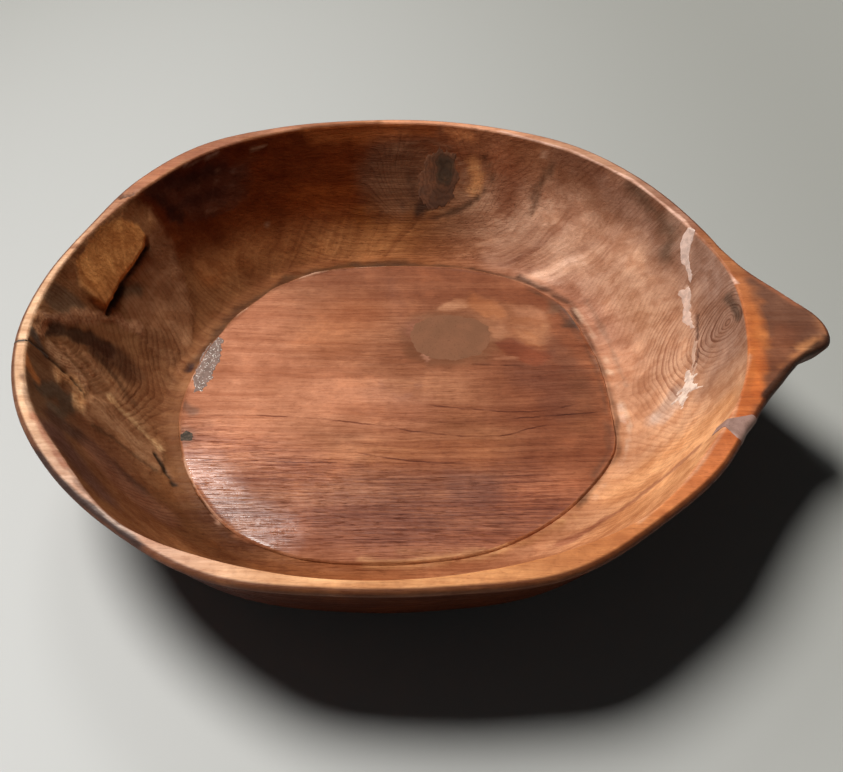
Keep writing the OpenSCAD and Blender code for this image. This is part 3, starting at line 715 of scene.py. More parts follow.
        Mark(((214, 0.95), (220, 0.9), (227, 0.95)), 1.2, 2, (0.62, 0.25, 0.14), 0.55, 1.5),
        Mark(((236, 0.86), (240, 0.84), (243, 0.9)), 0.6, 1.4, (1, 0.74, 0.6), 0.7, 1),
        Mark(((140, 0.95), (150, 1), (160, 1), (172, 1)), 1.3, 1.5, (0.42, 0.18, 0.08), 0.8, 2),
        Mark(((100, 1), (112, 1), (128, 1)), 1.4, 1.6, (0.4, 0.15, 0.05), 0.8, 1.6),
        Mark(((13, 0.5), (19, 0.45), (25, 0.4)), 3, 4, (0.46, 0.17, 0.06), 0.75, 2),
        Mark(((355, 0.84), (350, 0.62), (344, 0.45)), 2.4, 3, (0.8, 0.22, 0.05), 0.8, 2),
        Mark(((355, 0.3), (352, 0.28), (348, 0.25)), 5, 7, (0.22, 0.075, 0.032), 0.6),
        Mark(((358, 0.52), (356, 0.6), (353, 0.5)), 6, 10, (0.27, 0.095, 0.045), 0.6),
        Mark(((358, 0.84), (355, 0.77)), 2.6, 5, (0.72, 0.26, 0.075), 0.6, 2.5),
        Mark(((357.6, 0.12), (356.4, 0.17), (355.2, 0.18)), 1.8, 4, (0.66, 0.31, 0.13), 0.75, 2.5),
        Mark(((355, 0.1), (353, 0.1), (350.5, 0.12)), 1.1, 2.5, (0.5, 0.2, 0.08), 0.7, 2),
        Mark(((358.5, -0.08), (355, -0.08), (350, -0.09), (344, -0.12)), 2.2, 1.4,
             (0.05, 0.022, 0.012), 0.85, 0.6),
        Mark(((12, 0.04), (8, 0.04), (4, 0.04)), 1.2, 2, (0.42, 0.15, 0.07), 0.6, 1.5),
    ),
    Side.OUTSIDE: (
        Mark(((270, 1), (300, 1), (330, 1)), 4, 5, T.CHESTNUT, 0.6, 1.5),
        # Painted shadow band on the outside under the rim at the front left
        Mark(((219, 1), (226, 1), (233, 1), (240, 1), (246, 1)), 1.8, 2, (0.055, 0.034, 0.03), 0.9,
             1.5),
    ),
}


def blend(old: np.ndarray, new: np.ndarray | tuple[float, ...], mask: np.ndarray) -> None:
    """Fades the rows of an array towards new ones, in place."""
    old[:] = old * (1 - mask[:, None]) + np.array(new) * mask[:, None]


@dataclass
class Surface:
    """The wood's surface with all that the tools and the years did to it, and the shade and
    highlights painted on it.

    Args:
        carving: The plain carved shape.
        foot_tones: Tones at the foot of the wall, every 30 degrees from the handle.
        wall_tones: Tones halfway up the wall.
        top_tones: Tones under the rim.
        rim_tones: Tones on top of the rim.
    """

    carving: Carving = field(default_factory=Carving)
    foot_tones: tuple[Tone, ...] = (
        (0.57, 0.28, 0.155), (0.51, 0.245, 0.15), T.ROSE, (0.34, 0.12, 0.04),
        (0.27, 0.088, 0.026), T.COCOA, (0.34, 0.145, 0.06), (0.25, 0.105, 0.042),
        (0.13, 0.044, 0.015), (0.43, 0.16, 0.06), T.HEART, (0.62, 0.31, 0.16))
    # Halfway up at 60 degrees the pale tone also paints the sheen of the gouge strokes there
    wall_tones: tuple[Tone, ...] = (
        T.SAND, T.SAND, T.PALE, T.COCOA, (0.32, 0.09, 0.023), T.COCOA, (0.4, 0.195, 0.085),
        (0.24, 0.1, 0.045), T.COCOA, (0.37, 0.13, 0.042), T.HEART_ORANGE, T.HONEY)
    top_tones: tuple[Tone, ...] = (
        T.RING_BROWN, T.RING_BROWN, (0.33, 0.14, 0.07), T.CHESTNUT, T.EMBER, T.SCORCH,
        (0.4, 0.19, 0.08), (0.16, 0.075, 0.035), T.COCOA, (0.36, 0.14, 0.06), T.HEART_ORANGE,
        T.HONEY)
    rim_tones: tuple[Tone, ...] = (
        T.COPPER, (0.42, 0.2, 0.125), (0.66, 0.35, 0.21), (0.9, 0.42, 0.23),
        (0.52, 0.23, 0.125), (0.53, 0.215, 0.105), (1.0, 0.62, 0.37), (1.0, 0.64, 0.39),
        (0.76, 0.46, 0.33), (0.95, 0.5, 0.23), (0.78, 0.33, 0.12), (0.7, 0.21, 0.065))

    def path_points(self, side: Side, path: tuple[Place, ...]) -> np.ndarray:
        """Points of a line of places on one side of the wood."""
        a, b = np.array(path, float).T
        if side is Side.FLOOR:
            return np.stack([a, b, 0 * a + self.carving.floor_t], axis=-1)
        if side is Side.RIM:
            return self.carving.points(Zone.RIM_TOP, b, a)
        if side is Side.OUTSIDE:
            return self.carving.points(Zone.OUTSIDE, b ** (1 / OUTSIDE_BEND), a)
        return self.carving.points(Zone.INSIDE, 1 - b / INSIDE_TOP, a)

    @staticmethod
    def away(points: np.ndarray, path: np.ndarray) -> np.ndarray:
        """Distance of each point from a line of points."""
        best = np.linalg.norm(points - path[0], axis=-1)
        for a, b in zip(path, path[1:]):
            along = np.clip((points - a) @ (b - a) / np.dot(b - a, b - a), 0, 1)
            gap = np.linalg.norm(points - a - along[..., None] * (b - a), axis=-1)
            best = np.minimum(best, gap)
        return best

    def gap(self, points: np.ndarray, path: np.ndarray, closed: bool) -> np.ndarray:
        """Distance of each point from a line, or out from the patch that the line closes round."""
        if not closed:
            return self.away(points, path)
        inside = np.zeros(len(points), bool)
        x, y = points[:, 0], points[:, 1]
        for a, b in zip(path, np.roll(path, -1, axis=0)):
            inside ^= ((a[1] > y) != (b[1] > y)) & (
                x < a[0] + (y - a[1]) * (b[0] - a[0]) / (b[1] - a[1] or 1))
        gap = self.away(points, np.vstack([path, path[:1]]))
        return np.where(inside, -gap, gap)

    def mask(self, mark: Mark, side: Side, points: np.ndarray, here: np.ndarray,
             wander: np.ndarray) -> np.ndarray:
        """How much of a mark lies on each point.

        Args:
            mark: The mark.
            side: Side of the wood that it lies on.
            points: All points.
            here: Indices of the points on that side.
            wander: How far a ragged border strays at each point, -1 to 1.

        Returns:
            A share for each point, 0 to 1.
        """
        path = self.path_points(side, mark.path)
        reach = mark.radius + mark.soft + 2 * mark.ragged
        near = here[np.all((points[here] > path.min(axis=0) - reach)
                           & (points[here] < path.max(axis=0) + reach), axis=-1)]
        gap = self.gap(points[near], path, mark.closed) + mark.ragged * wander[near]
        mask = np.zeros(len(points))
        mask[near] = 1 - smooth(mark.radius - mark.soft / 2, mark.radius + mark.soft / 2, gap)
        return mask

    @staticmethod
    def plain_figure(zones: np.ndarray, share: np.ndarray, angle: np.ndarray) -> np.ndarray:
        """Figure of the wood without its marks, a column for each strength."""
        end_grain = np.sin(np.radians(angle))
        figure = np.tile(np.array([0.4, 0.6, 0.06, 0.0, 0.0]), (len(zones), 1))
        figure[:, 1] = 0.1 + 0.55 * end_grain ** 2
        figure[:, 3] = (0.7 * smooth(0.1, 0.7, end_grain) * (1 - smooth(0.3, 0.7, share))
                        * (zones == Zone.INSIDE.value))
        figure[zones == Zone.FLOOR.value] = (0.4, 0.5, 0.13, 0.0, 0.0)
        figure[Side.RIM.holds(zones)] = (0.2, 0.3, 0.2, 0.35, 0.0)
        return figure

    def plain_wood(self, points: np.ndarray, zones: np.ndarray, share: np.ndarray,
                   angle: np.ndarray) -> tuple[np.ndarray, np.ndarray]:
        """Tone and lift of the wood without its marks. Arguments as for finish."""

        def round_bowl(table: tuple[Tone, ...]) -> np.ndarray:
            return np.stack([self.carving.around(tuple(t[i] for t in table), angle)
                             for i in range(3)], axis=-1)

        r = np.hypot(points[:, 0], points[:, 1])
        groove = zones == Zone.GROOVE.value
        tone = np.tile(np.array(T.HEART), (len(points), 1))
        wall = Side.WALL.holds(zones).astype(float)
        wander = 0.8 * Mottle(12, 9).at(points) + 0.5 * Mottle(13, 3).at(points)
        wall *= np.where(groove, 1 - smooth(2.3, 3.3, -share + wander), 1)
        blend(tone, round_bowl(self.foot_tones), wall)
        blend(tone, round_bowl(self.wall_tones), wall * smooth(0.1, 0.45, share))
        blend(tone, round_bowl(self.top_tones), wall * smooth(0.55, 0.9, share))
        rim = Side.RIM.holds(zones).astype(float)
        out = r - self.carving.rim_r(angle)
        reach = self.carving.handle_reach
        blend(tone, round_bowl(self.rim_tones), rim)
        blend(tone, T.CHOCOLATE, rim * smooth(-3, 4, out - 1 + 3.5 * Mottle(11, 5).at(points)))
        blend(tone, T.TAN, rim * smooth(reach - 8, reach, out))
        # The rim's rounded outer edge: the outside's dark wood, deepened as painted shade
        blend(tone, T.RIM_EDGE, (zones == Zone.OUTER_EDGE.value) * 0.9)
        outside = Side.OUTSIDE.holds(zones).astype(float)
        blend(tone, T.UNDERSIDE, outside)

        lift = 0.45 * Mottle(3, 38).at(points) * wall + 0.12 * Mottle(4, 9).at(points) * wall
        lift += 0.3 * Mottle(5, 30).at(points) * outside
        filled = smooth(-0.5, 0.6, Mottle(14, 14).at(points)) * groove
        lift += 0.8 * filled * smooth(7, 2, r - self.carving.plateau_r(angle))
        return tone, lift

    def finish(self, points: np.ndarray, zones: np.ndarray,
               share: np.ndarray) -> tuple[np.ndarray, np.ndarray, np.ndarray]:
        """Colours, grain and relief of points on the wood.

        Args:
            points: Plain points of the surface, in millimetres, one to a row.
            zones: Zone number of each.
            share: Share of the way up the wall of each, where it lies on the wall.

        Returns:
            Tone, figure (a column for each strength) and lift in millimetres of each point.
        """
        angle = np.degrees(np.arctan2(points[:, 1], points[:, 0]))
        figure = self.plain_figure(zones, share, angle)
        tone, lift = self.plain_wood(points, zones, share, angle)
        wander = 0.7 * Mottle(7, 5).at(points) + 0.3 * Mottle(8, 1.8).at(points)
        for side, marks in MARKS.items():
            here = np.flatnonzero(side.holds(zones))
            for mark in marks:
                mask = self.mask(mark, side, points, here, wander)
                if mark.tone is not None:
                    blend(tone, mark.tone, mask * mark.amount)
                if mark.figure is not None:
                    blend(figure, astuple(mark.figure), mask)
                grow = smooth(*mark.tilt, share) if mark.tilt else 1
                lift += mask * grow * mark.lift
        lift += figure[:, 4] * 0.6 * Mottle(9, 2.2).at(points)
        return tone, figure, lift


class Nodes:
    """Node tree of one finish.

    Args:
        name: Name of the material.
    """

    def __init__(self, name: str) -> None:
        """Makes the material with its shader and nothing else."""
        self.material = bpy.data.materials.new(name)
        self.material.use_nodes = True
        self.tree = self.material.node_tree
        self.shader = self.tree.nodes["Principled BSDF"]

    def add(self, kind: str, *inputs: object, **settings: object) -> bpy.types.NodeSocket:
        """Adds a node.

        Args:
            kind: Type of the node, without its first words.
            inputs: A socket or a value for each input in order, None to leave it.
            settings: Properties of the node.

        Returns:
            Its first output that is in use.
        """
        node = self.tree.nodes.new("ShaderNode" + kind)
        for key, value in settings.items():
            setattr(node, key, value)
        sockets = [socket for socket in node.inputs if socket.enabled]
        for socket, value in zip(sockets, inputs):
            self.put(socket, value)
        return next(socket for socket in node.outputs if socket.enabled)

    def put(self, socket: bpy.types.NodeSocket, value: object) -> None:
        """Links a socket to an input, or sets its value."""
        if isinstance(value, bpy.types.NodeSocket):
            self.tree.links.new(value, socket)
        elif value is not None:
            socket.default_value = value

    def math(self, operation: str, *inputs: object) -> bpy.types.NodeSocket:
        """Adds a node that works on numbers."""
        return self.add("Math", *inputs, operation=operation)

    def times(self, a: object, b: object) -> bpy.types.NodeSocket:
        """Adds a product."""
        return self.math("MULTIPLY", a, b)

    def plus(self, a: object, b: object) -> bpy.types.NodeSocket:
        """Adds a sum."""
        return self.math("ADD", a, b)

    def minus(self, a: object, b: object) -> bpy.types.NodeSocket:
        """Adds a difference."""
        return self.math("SUBTRACT", a, b)

    def vector(self, operation: str, *inputs: object) -> bpy.types.NodeSocket:
        """Adds a node that works on vectors."""
        return self.add("VectorMath", *inputs, operation=operation)

    def length(self, vector: object) -> bpy.types.NodeSocket:
        """Adds the length of a vector."""
        return self.vector("LENGTH", vector).node.outputs["Value"]

    def mix(self, share: object, a: object, b: object, blend: str = "MIX") -> bpy.types.NodeSocket:
        """Mixes two colours."""
        return self.add("Mix", share, a, b, data_type="RGBA", blend_type=blend)

    def tint(self, colour: object, *layers: tuple[object, Tone]) -> bpy.types.NodeSocket:
        """Multiplies a colour by the tone of each layer in turn, as far as its mask says."""
        for mask, tone in layers:
            colour = self.mix(mask, colour, (*tone, 1.0), "MULTIPLY")
        return colour

    def noise(self, vector: object, scale: float, detail: float = 2.0,
              rough: float = 0.5) -> bpy.types.NodeSocket:
        """Adds a smooth noise from 0 to 1."""
        return self.add("TexNoise", vector, scale, detail, rough)

    def drawn_noise(self, vector: object, along: float, across: float, detail: float,
                    rough: float = 0.5) -> bpy.types.NodeSocket:
        """Adds a noise drawn out along the first axis, with its bumps per metre each way."""
        stretched = self.vector("MULTIPLY", vector, (along, across, across))
        return self.noise(stretched, 1.0, detail, rough)

    def sway(self, noise: bpy.types.NodeSocket, reach: Spot) -> bpy.types.NodeSocket:
        """Adds the shift that a noise's colour gives, up to half of reach either way."""
        middle = self.vector("SUBTRACT", noise.node.outputs["Color"], (0.5, 0.5, 0.5))
        return self.vector("MULTIPLY", middle, reach)

    def span(self, value: object, low: float, high: float, to_low: float = 0.0,
             to_high: float = 1.0) -> bpy.types.NodeSocket:
        """Maps a span of values smoothly to another, and no further."""
        return self.add("MapRange", value, low, high, to_low, to_high,
                        interpolation_type="SMOOTHSTEP")

    def coordinates(self) -> bpy.types.NodeSocket:
        """The object's own coordinates."""
        node = self.tree.nodes.new("ShaderNodeTexCoord")
        return node.outputs["Object"]

    def surface(self, **inputs: object) -> None:
        """Sets or links inputs of the shader, with a low line for each blank in their names."""
        for key, value in inputs.items():
            self.put(self.shader.inputs[key.replace("_", " ")], value)

    def bump(self, height: object, strength: float, depth: float) -> None:
        """Gives the shader a relief."""
        node = self.tree.nodes.new("ShaderNodeBump")
        node.inputs["Strength"].default_value = strength
        node.inputs["Distance"].default_value = depth
        self.put(node.inputs["Height"], height)
        self.put(self.shader.inputs["Normal"], node.outputs["Normal"])


@dataclass(frozen=True)
class WoodFinish:
    """Oiled, worn hardwood, whose tones and figure lie on the piece's points.

    Args:
        name: Name of the material.
        ring_gap: Distance between growth rings, in metres.
        pith: Place of the middle of the tree across the grain, in metres.
        knot: Middle of the dead knot, in metres.
        grain_turn: Angle of the grain from the handle's axis, in degrees.
        check_lines: Lines of the checks along and across the grain, in metres.
    """

    name: str = "oiled_bowl_wood"
    ring_gap: float = 0.0022
    pith: Place = (-0.0076, 0.065)
    knot: Spot = (0.007, 0.148, 0.045)
    grain_turn: float = 6.5
    check_lines: tuple[tuple[Place, ...], ...] = (
        ((-0.103, -0.0185), (-0.05, -0.0195), (-0.003, -0.026), (0.012, -0.0295), (0.055, -0.0324),
         (0.073, -0.0265), (0.101, -0.0236)),
        ((0.014, -0.0096), (0.044, -0.014), (0.073, -0.0153), (0.099, -0.0082)),
        ((0.059, -0.0208), (0.082, -0.0185), (0.106, -0.0161)),
        ((-0.096, -0.0494), (-0.07, -0.0494), (-0.042, -0.0506), (-0.018, -0.0503)),
        ((-0.02, -0.043), (0.0095, -0.0494), (0.0385, -0.0507)),
    )

    def checks(self, n: Nodes, grain: bpy.types.NodeSocket) -> bpy.types.NodeSocket:
        """Adds the fine dark checks in the floor.

        Args:
            n: The tree.
            grain: Coordinates along the grain.

        Returns:
            How dark each place is, 0 to 1.
        """
        along, across, height = n.add("SeparateXYZ", grain).node.outputs
        jitter = n.math("MULTIPLY_ADD", n.noise(n.add("CombineXYZ", along), 160.0), 0.0016, -0.0008)
        shown = None
        for line in self.check_lines:
            curve = n.tree.nodes.new("ShaderNodeFloatCurve")
            points = curve.mapping.curves[0].points
            first, last = line[0][0], line[-1][0]
            for x, y in line[1:-1]:
                points.new((x - first) / (last - first), y * CURVE_SCALE + CURVE_MIDDLE)
            points[0].location = (0, line[0][1] * CURVE_SCALE + CURVE_MIDDLE)
            points[-1].location = (1, line[-1][1] * CURVE_SCALE + CURVE_MIDDLE)
            curve.mapping.update()
            part = n.add("MapRange", along, first, last)
            n.put(curve.inputs["Value"], part)
            middle = n.math("MULTIPLY_ADD", curve.outputs[0], 1 / CURVE_SCALE,
                            -CURVE_MIDDLE / CURVE_SCALE)
            gap = n.math("ABSOLUTE", n.minus(n.plus(across, jitter), middle))
            ends = n.times(n.span(part, 0.0, 0.12), n.span(part, 1.0, 0.88))
            dark = n.times(n.span(gap, 0.0008, 0.0001), ends)
            shown = dark if shown is None else n.math("MAXIMUM", shown, dark)
        on_floor = n.span(height, 0.0165, 0.0145)
        uneven = n.span(n.noise(grain, 70.0), 0.4, 0.6, 0.3, 1.0)
        return n.times(shown, n.times(on_floor, uneven))

    def late_wood(self, n: Nodes, place: bpy.types.NodeSocket,
                  bent: bpy.types.NodeSocket) -> bpy.types.NodeSocket:
        """Adds the dark part of each growth ring.

        Args:
            n: The tree.
            place: The object's own coordinates.
            bent: Coordinates along the grain, as the wood grew.

        Returns:
            How dark each place is, 0 to 1.
        """
        from_knot = n.vector("DISTANCE", place, self.knot).node.outputs["Value"]
        across = n.vector("MULTIPLY", n.vector("SUBTRACT", bent, (0.0, *self.pith)),
                          (0.0, 1.0, 1.0))
        reach = n.plus(n.length(across), n.span(from_knot, 0.042, 0.006, 0.0, 0.026))
        turn = n.math("DIVIDE", reach, self.ring_gap)
        turn = n.plus(turn, n.times(n.noise(n.add("CombineXYZ", turn), 0.35), 2.2))
        part = n.math("FRACT", turn)
        late = n.times(n.span(part, 0.35, 0.86), n.span(part, 1.0, 0.9))
        each = n.noise(n.add("CombineXYZ", n.math("FLOOR", turn)), 1.7)
        return n.times(late, n.span(each, 0.3, 0.7, 0.35, 1.0))

    @staticmethod
    def gouge_strokes(n: Nodes, place: bpy.types.NodeSocket) -> bpy.types.NodeSocket:
        """Adds the slanting strokes of the gouge up the wall, from -0.5 to 0.5."""
        x, y, _ = n.add("SeparateXYZ", place).node.outputs
        radius = n.length(n.vector("MULTIPLY", place, (1.0, 1.0, 0.0)))
        around = n.math("MULTIPLY_ADD", radius, 8.0, n.math("ARCTAN2", y, x))
        around = n.plus(around, n.times(n.noise(place, 24.0), 0.2))
        path = n.add("CombineXYZ", n.times(around, 24.0), n.times(radius, 18.0))
        return n.minus(n.noise(path, 1.0, 3.0, 0.5), 0.5)

    def material(self) -> bpy.types.Material:
        """Builds the material."""
        n = Nodes(self.name)
        place = n.coordinates()
        grain = n.add("Mapping", place, None, (0.0, 0.0, -math.radians(self.grain_turn)))
        tone = n.add("Attribute", attribute_name="tone").node.outputs["Color"]
        figure = n.add("Attribute", attribute_name="figure").node
        rings, fibres, gloss = n.add("SeparateColor", figure.outputs["Color"]).node.outputs

        wave = n.sway(n.drawn_noise(grain, 4.0, 16.0, 2.0), (0.0, 0.016, 0.016))
        ripple = n.sway(n.drawn_noise(grain, 30.0, 110.0, 3.0), (0.0, 0.0022, 0.0022))
        bent = n.vector("ADD", n.vector("ADD", grain, wave), ripple)
        patch = n.noise(place, 17.0, 2.0)
        late = n.times(n.times(self.late_wood(n, place, bent), rings),
                       n.span(patch, 0.35, 0.62, 0.35, 1.0))
        broad = n.drawn_noise(bent, 7.0, 120.0, 2.0)
        streak = n.drawn_noise(bent, 26.0, 700.0, 3.0, 0.6)
        hair = n.drawn_noise(grain, 110.0, 2600.0, 2.0, 0.6)
        fleck = n.drawn_noise(grain, 330.0, 2400.0, 1.0)
        pores = n.times(n.span(hair, 0.56, 0.68), fibres)
        cloud = n.noise(place, 40.0, 4.0, 0.55)
        scuff = n.noise(place, 260.0, 3.0, 0.65)
        stroke = n.times(self.gouge_strokes(n, place), figure.outputs["Alpha"])

        colour = n.tint(
            tone,
            (n.span(cloud, 0.35, 0.68, 0.0, 0.55), (0.6, 0.48, 0.4)),
            (n.span(cloud, 0.48, 0.3, 0.0, 0.5), (1.3, 1.28, 1.22)),
            (n.span(scuff, 0.5, 0.7, 0.0, 0.32), (0.66, 0.56, 0.5)),
            (n.span(scuff, 0.48, 0.3, 0.0, 0.32), (1.3, 1.38, 1.4)),
            # Painted sheen on the gouge strokes' ridges and painted shade between them
            (n.span(stroke, 0.0, -0.22), (0.66, 0.55, 0.5)),
            (n.span(stroke, 0.02, 0.22), (1.35, 1.5, 1.6)),
            (n.span(broad, 0.42, 0.62, 0.0, 0.7), (0.74, 0.62, 0.54)),
            (n.times(n.span(streak, 0.4, 0.66), fibres), (0.7, 0.58, 0.52)),
            (n.times(n.span(streak, 0.42, 0.25), n.times(fibres, 0.5)), (1.25, 1.3, 1.35)),
            (late, (0.5, 0.36, 0.3)),
            (pores, (0.6, 0.48, 0.44)),
            (n.span(fleck, 0.62, 0.74, 0.0, 0.6), (0.6, 0.46, 0.4)),
            (self.checks(n, grain), (0.4, 0.26, 0.21)))
        rough = n.minus(n.span(cloud, 0.3, 0.7, 0.5, 0.62), n.times(gloss, 0.4))
        rough = n.plus(rough, n.times(n.span(streak, 0.4, 0.6), 0.12))
        n.surface(Base_Color=colour, Roughness=n.plus(rough, n.times(pores, 0.2)),
                  Specular_IOR_Level=n.math("MULTIPLY_ADD", gloss, 1.0, 0.02))
        relief = n.minus(n.times(streak, 0.7), n.times(pores, 0.6))
        relief = n.plus(relief, n.times(n.noise(place, 160.0, 3.0, 0.6), 0.3))
        relief = n.plus(relief, n.times(stroke, 0.8))
        relief = n.minus(relief, n.times(scuff, 0.45))
        relief = n.minus(relief, n.times(late, 0.5))
        n.bump(relief, 0.6, 0.0006)
        return n.material


@dataclass(frozen=True)
class CastFinish:
    """Cast resin or filler, mottled, with specks and, where it glitters, flakes of metal.

    Args:
        name: Name of the material.
        tone: Its colour.
        mottle: Colour of its clouds.
        roughness: Roughness of its polish.
        flakes: Share of it that glitters.
        grain: Size of its clouds, as a frequency per metre.
        shine: Strength of its reflections.
    """

    name: str
    tone: Tone
    mottle: Tone
    roughness: float = 0.35
    flakes: float = 0.0
    grain: float = 260.0
    shine: float = 0.45

    def material(self) -> bpy.types.Material:
        """Builds the material."""
        n = Nodes(self.name)
        place = n.coordinates()
        cloud = n.noise(place, self.grain, 4.0, 0.65)
        specks = n.span(n.noise(place, 1500.0, 2.0), 0.6, 0.72)
        colour = n.mix(n.span(cloud, 0.35, 0.65), (*self.tone, 1.0), (*self.mottle, 1.0))
        colour = n.tint(colour, (n.times(specks, 0.35), self.mottle))
        relief = cloud
        if self.flakes:
            cells = n.add("TexVoronoi", place, 2500.0).node
            chance = n.add("SeparateColor", cells.outputs["Color"])
            lit = n.span(chance, 1 - self.flakes, 1 - self.flakes + 0.03)
            colour = n.mix(lit, colour, (0.8, 0.72, 0.64, 1.0))
            n.surface(Metallic=n.times(lit, 0.5))
            relief = n.add("SeparateColor", cells.outputs["Color"]).node.outputs[1]
        n.surface(Base_Color=colour,
                  Roughness=n.span(cloud, 0.3, 0.7, self.roughness, self.roughness + 0.12),
                  Specular_IOR_Level=self.shine)
        n.bump(relief, 0.35, 0.0003)
        return n.material


@dataclass(frozen=True)
class KnotFinish:
    """Dead branch wood with its own rings.

    Args:
        name: Name of the material.
        core: Middle of the branch, in metres.
    """

    name: str = "dead_knot"
    core: Spot = (0.012, 0.152, 0.052)

    def material(self) -> bpy.types.Material:
        """Builds the material."""
        n = Nodes(self.name)
        place = n.coordinates()
        wave = n.sway(n.noise(place, 90.0, 4.0, 0.6), (0.014, 0.014, 0.014))
        bent = n.vector("ADD", place, wave)
        off = n.vector("MULTIPLY", n.vector("SUBTRACT", bent, self.core), (1.0, 0.75, 0.55))
        reach = n.length(off)
        rings = n.span(n.math("SINE", n.times(reach, 2600.0)), -0.4, 1.0)
        cloud = n.noise(place, 150.0, 4.0, 0.65)
        colour = n.mix(n.span(reach, 0.0035, 0.007), (0.08, 0.048, 0.03, 1.0),
                       (0.15, 0.068, 0.038, 1.0))
        colour = n.mix(n.span(reach, 0.008, 0.014), colour, (0.19, 0.086, 0.048, 1.0))
        height = n.add("SeparateXYZ", bent).node.outputs[2]
        colour = n.tint(
            colour,
            (n.times(rings, 0.4), (0.5, 0.4, 0.34)),
            (n.span(height, 0.048, 0.038, 0.0, 0.55), (0.45, 0.5, 0.6)),
            (n.span(cloud, 0.42, 0.7, 0.0, 0.8), (1.7, 1.5, 1.3)))
        n.surface(Base_Color=colour, Roughness=0.65, Specular_IOR_Level=0.08)
        n.bump(cloud, 0.3, 0.0005)
        return n.material


def write_piece(bm: bmesh.types.BMesh, name: str, material: bpy.types.Material) -> bpy.types.Object:
    """Turns a built mesh into a smooth object.

    Args:
        bm: The mesh, in metres, which is freed.
        name: Name of the piece.
        material: Its finish.

    Returns:
        The object, in the scene.
    """
    bmesh.ops.recalc_face_normals(bm, faces=bm.faces[:])
    for face in bm.faces:
        face.smooth = True
    for edge in bm.edges:
        edge.smooth = edge.calc_face_angle(0.0) < CREASE
    mesh = bpy.data.meshes.new(name)
    bm.to_mesh(mesh)
    bm.free()
    mesh.materials.append(material)
    piece = bpy.data.objects.new(name, mesh)
    bpy.context.scene.collection.objects.link(piece)
    return piece


def colour_points(mesh: bpy.types.Mesh, name: str, values: np.ndarray) -> None:
    """Stores four numbers on each point of a mesh, as a colour."""
    full = np.ones((len(mesh.vertices), 4), np.float32)
    full[:, :values.shape[1]] = values
    mesh.attributes.new(name, "FLOAT_COLOR", "POINT").data.foreach_set("color", full.ravel())


@dataclass
class BowlWood:
    """The carved wood, spun from its cut and then worked over by hand.

    Args:
        surface: Shape and finish of the wood.
        columns: Steps round the bowl.
        counts: Rows in each stretch of the cut.
        crowding: How far the steps crowd together at the handle and across from it, in degrees.
    """

    surface: Surface
    columns: int = 440
    counts: tuple[int, ...] = (2, 22, 4, 14, 3, 84, 12, 60)
    crowding: float = 16.0

    def rows(self) -> list[tuple[Zone, float]]:
        """Zone of each row and its part of the way through it."""
        return [(zone, part) for zone, count in zip(Zone, self.counts)
                for part in np.linspace(0, 1, count + 1)[:-1]] + [(Zone.FLOOR, 1.0)]

    def build(self, low: Vector, high: Vector) -> bpy.types.Object:
        """Builds the piece inside the box of its solid.

        Args:
            low: Lowest corner, in metres.
            high: Highest corner.

        Returns:
            The object.
        """
        carving, rows = self.surface.carving, self.rows()
        bm = bmesh.new()
        layer = bm.verts.layers.int.new("row")
        chain = []
        for i, (zone, part) in enumerate(rows):
            r, z = carving.cut(zone, np.array(part), np.array(0.0))
            chain.append(bm.verts.new((float(r) * MM, 0, float(z) * MM)))
            chain[-1][layer] = i
        edges = [bm.edges.new(pair) for pair in zip(chain, chain[1:])]
        bmesh.ops.spin(bm, geom=chain + edges, axis=(0, 0, 1), cent=(0, 0, 0), angle=math.tau,
                       steps=self.columns, use_merge=True)
        bmesh.ops.remove_doubles(bm, verts=bm.verts[:], dist=1e-7)

        piece = write_piece(bm, "bowl_wood", WoodFinish().material())
        mesh = piece.data
        count = len(mesh.vertices)
        row = np.empty(count, np.int32)
        mesh.attributes["row"].data.foreach_get("value", row)
        start = np.empty(count * 3, np.float32)
        mesh.vertices.foreach_get("co", start)
        start = start.reshape(-1, 3)
        turn = np.mod(np.arctan2(start[:, 1], start[:, 0]) / math.tau, 1)
        column = np.round(turn * self.columns).astype(int) % self.columns

        steps = np.arange(self.columns) / self.columns
        angle = 360 * steps - self.crowding * np.sin(2 * math.tau * steps)
        grid = np.stack([carving.points(zone, part, angle) for zone, part in rows])
        zones = np.array([zone.value for zone, _ in rows])
        share = np.array([INSIDE_TOP * (1 - part) if zone is Zone.INSIDE
                          else GROOVE_FOOT * part if zone is Zone.GROOVE else 1.0
                          for zone, part in rows])
        flat = grid.reshape(-1, 3)
        tone, figure, lift = self.surface.finish(flat, np.repeat(zones, self.columns),
                                                 np.repeat(share, self.columns))
        along = np.roll(grid, -1, axis=1) - np.roll(grid, 1, axis=1)
        normal = np.cross(np.gradient(grid, axis=0), along)
        normal /= np.maximum(np.linalg.norm(normal, axis=-1, keepdims=True), 1e-9)
        worked = grid + normal * -lift.reshape(grid.shape[:2])[..., None]
        place = worked[row, column] * MM
        place = np.clip(place, np.array(low), np.array(high))
        mesh.vertices.foreach_set("co", place.astype(np.float32).ravel())
        index = row * self.columns + column
        colour_points(mesh, "tone", tone[index])
        colour_points(mesh, "figure", figure[index, :4])
        mesh.update()
        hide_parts("bowl_body")
        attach(piece, "root")
        return piece


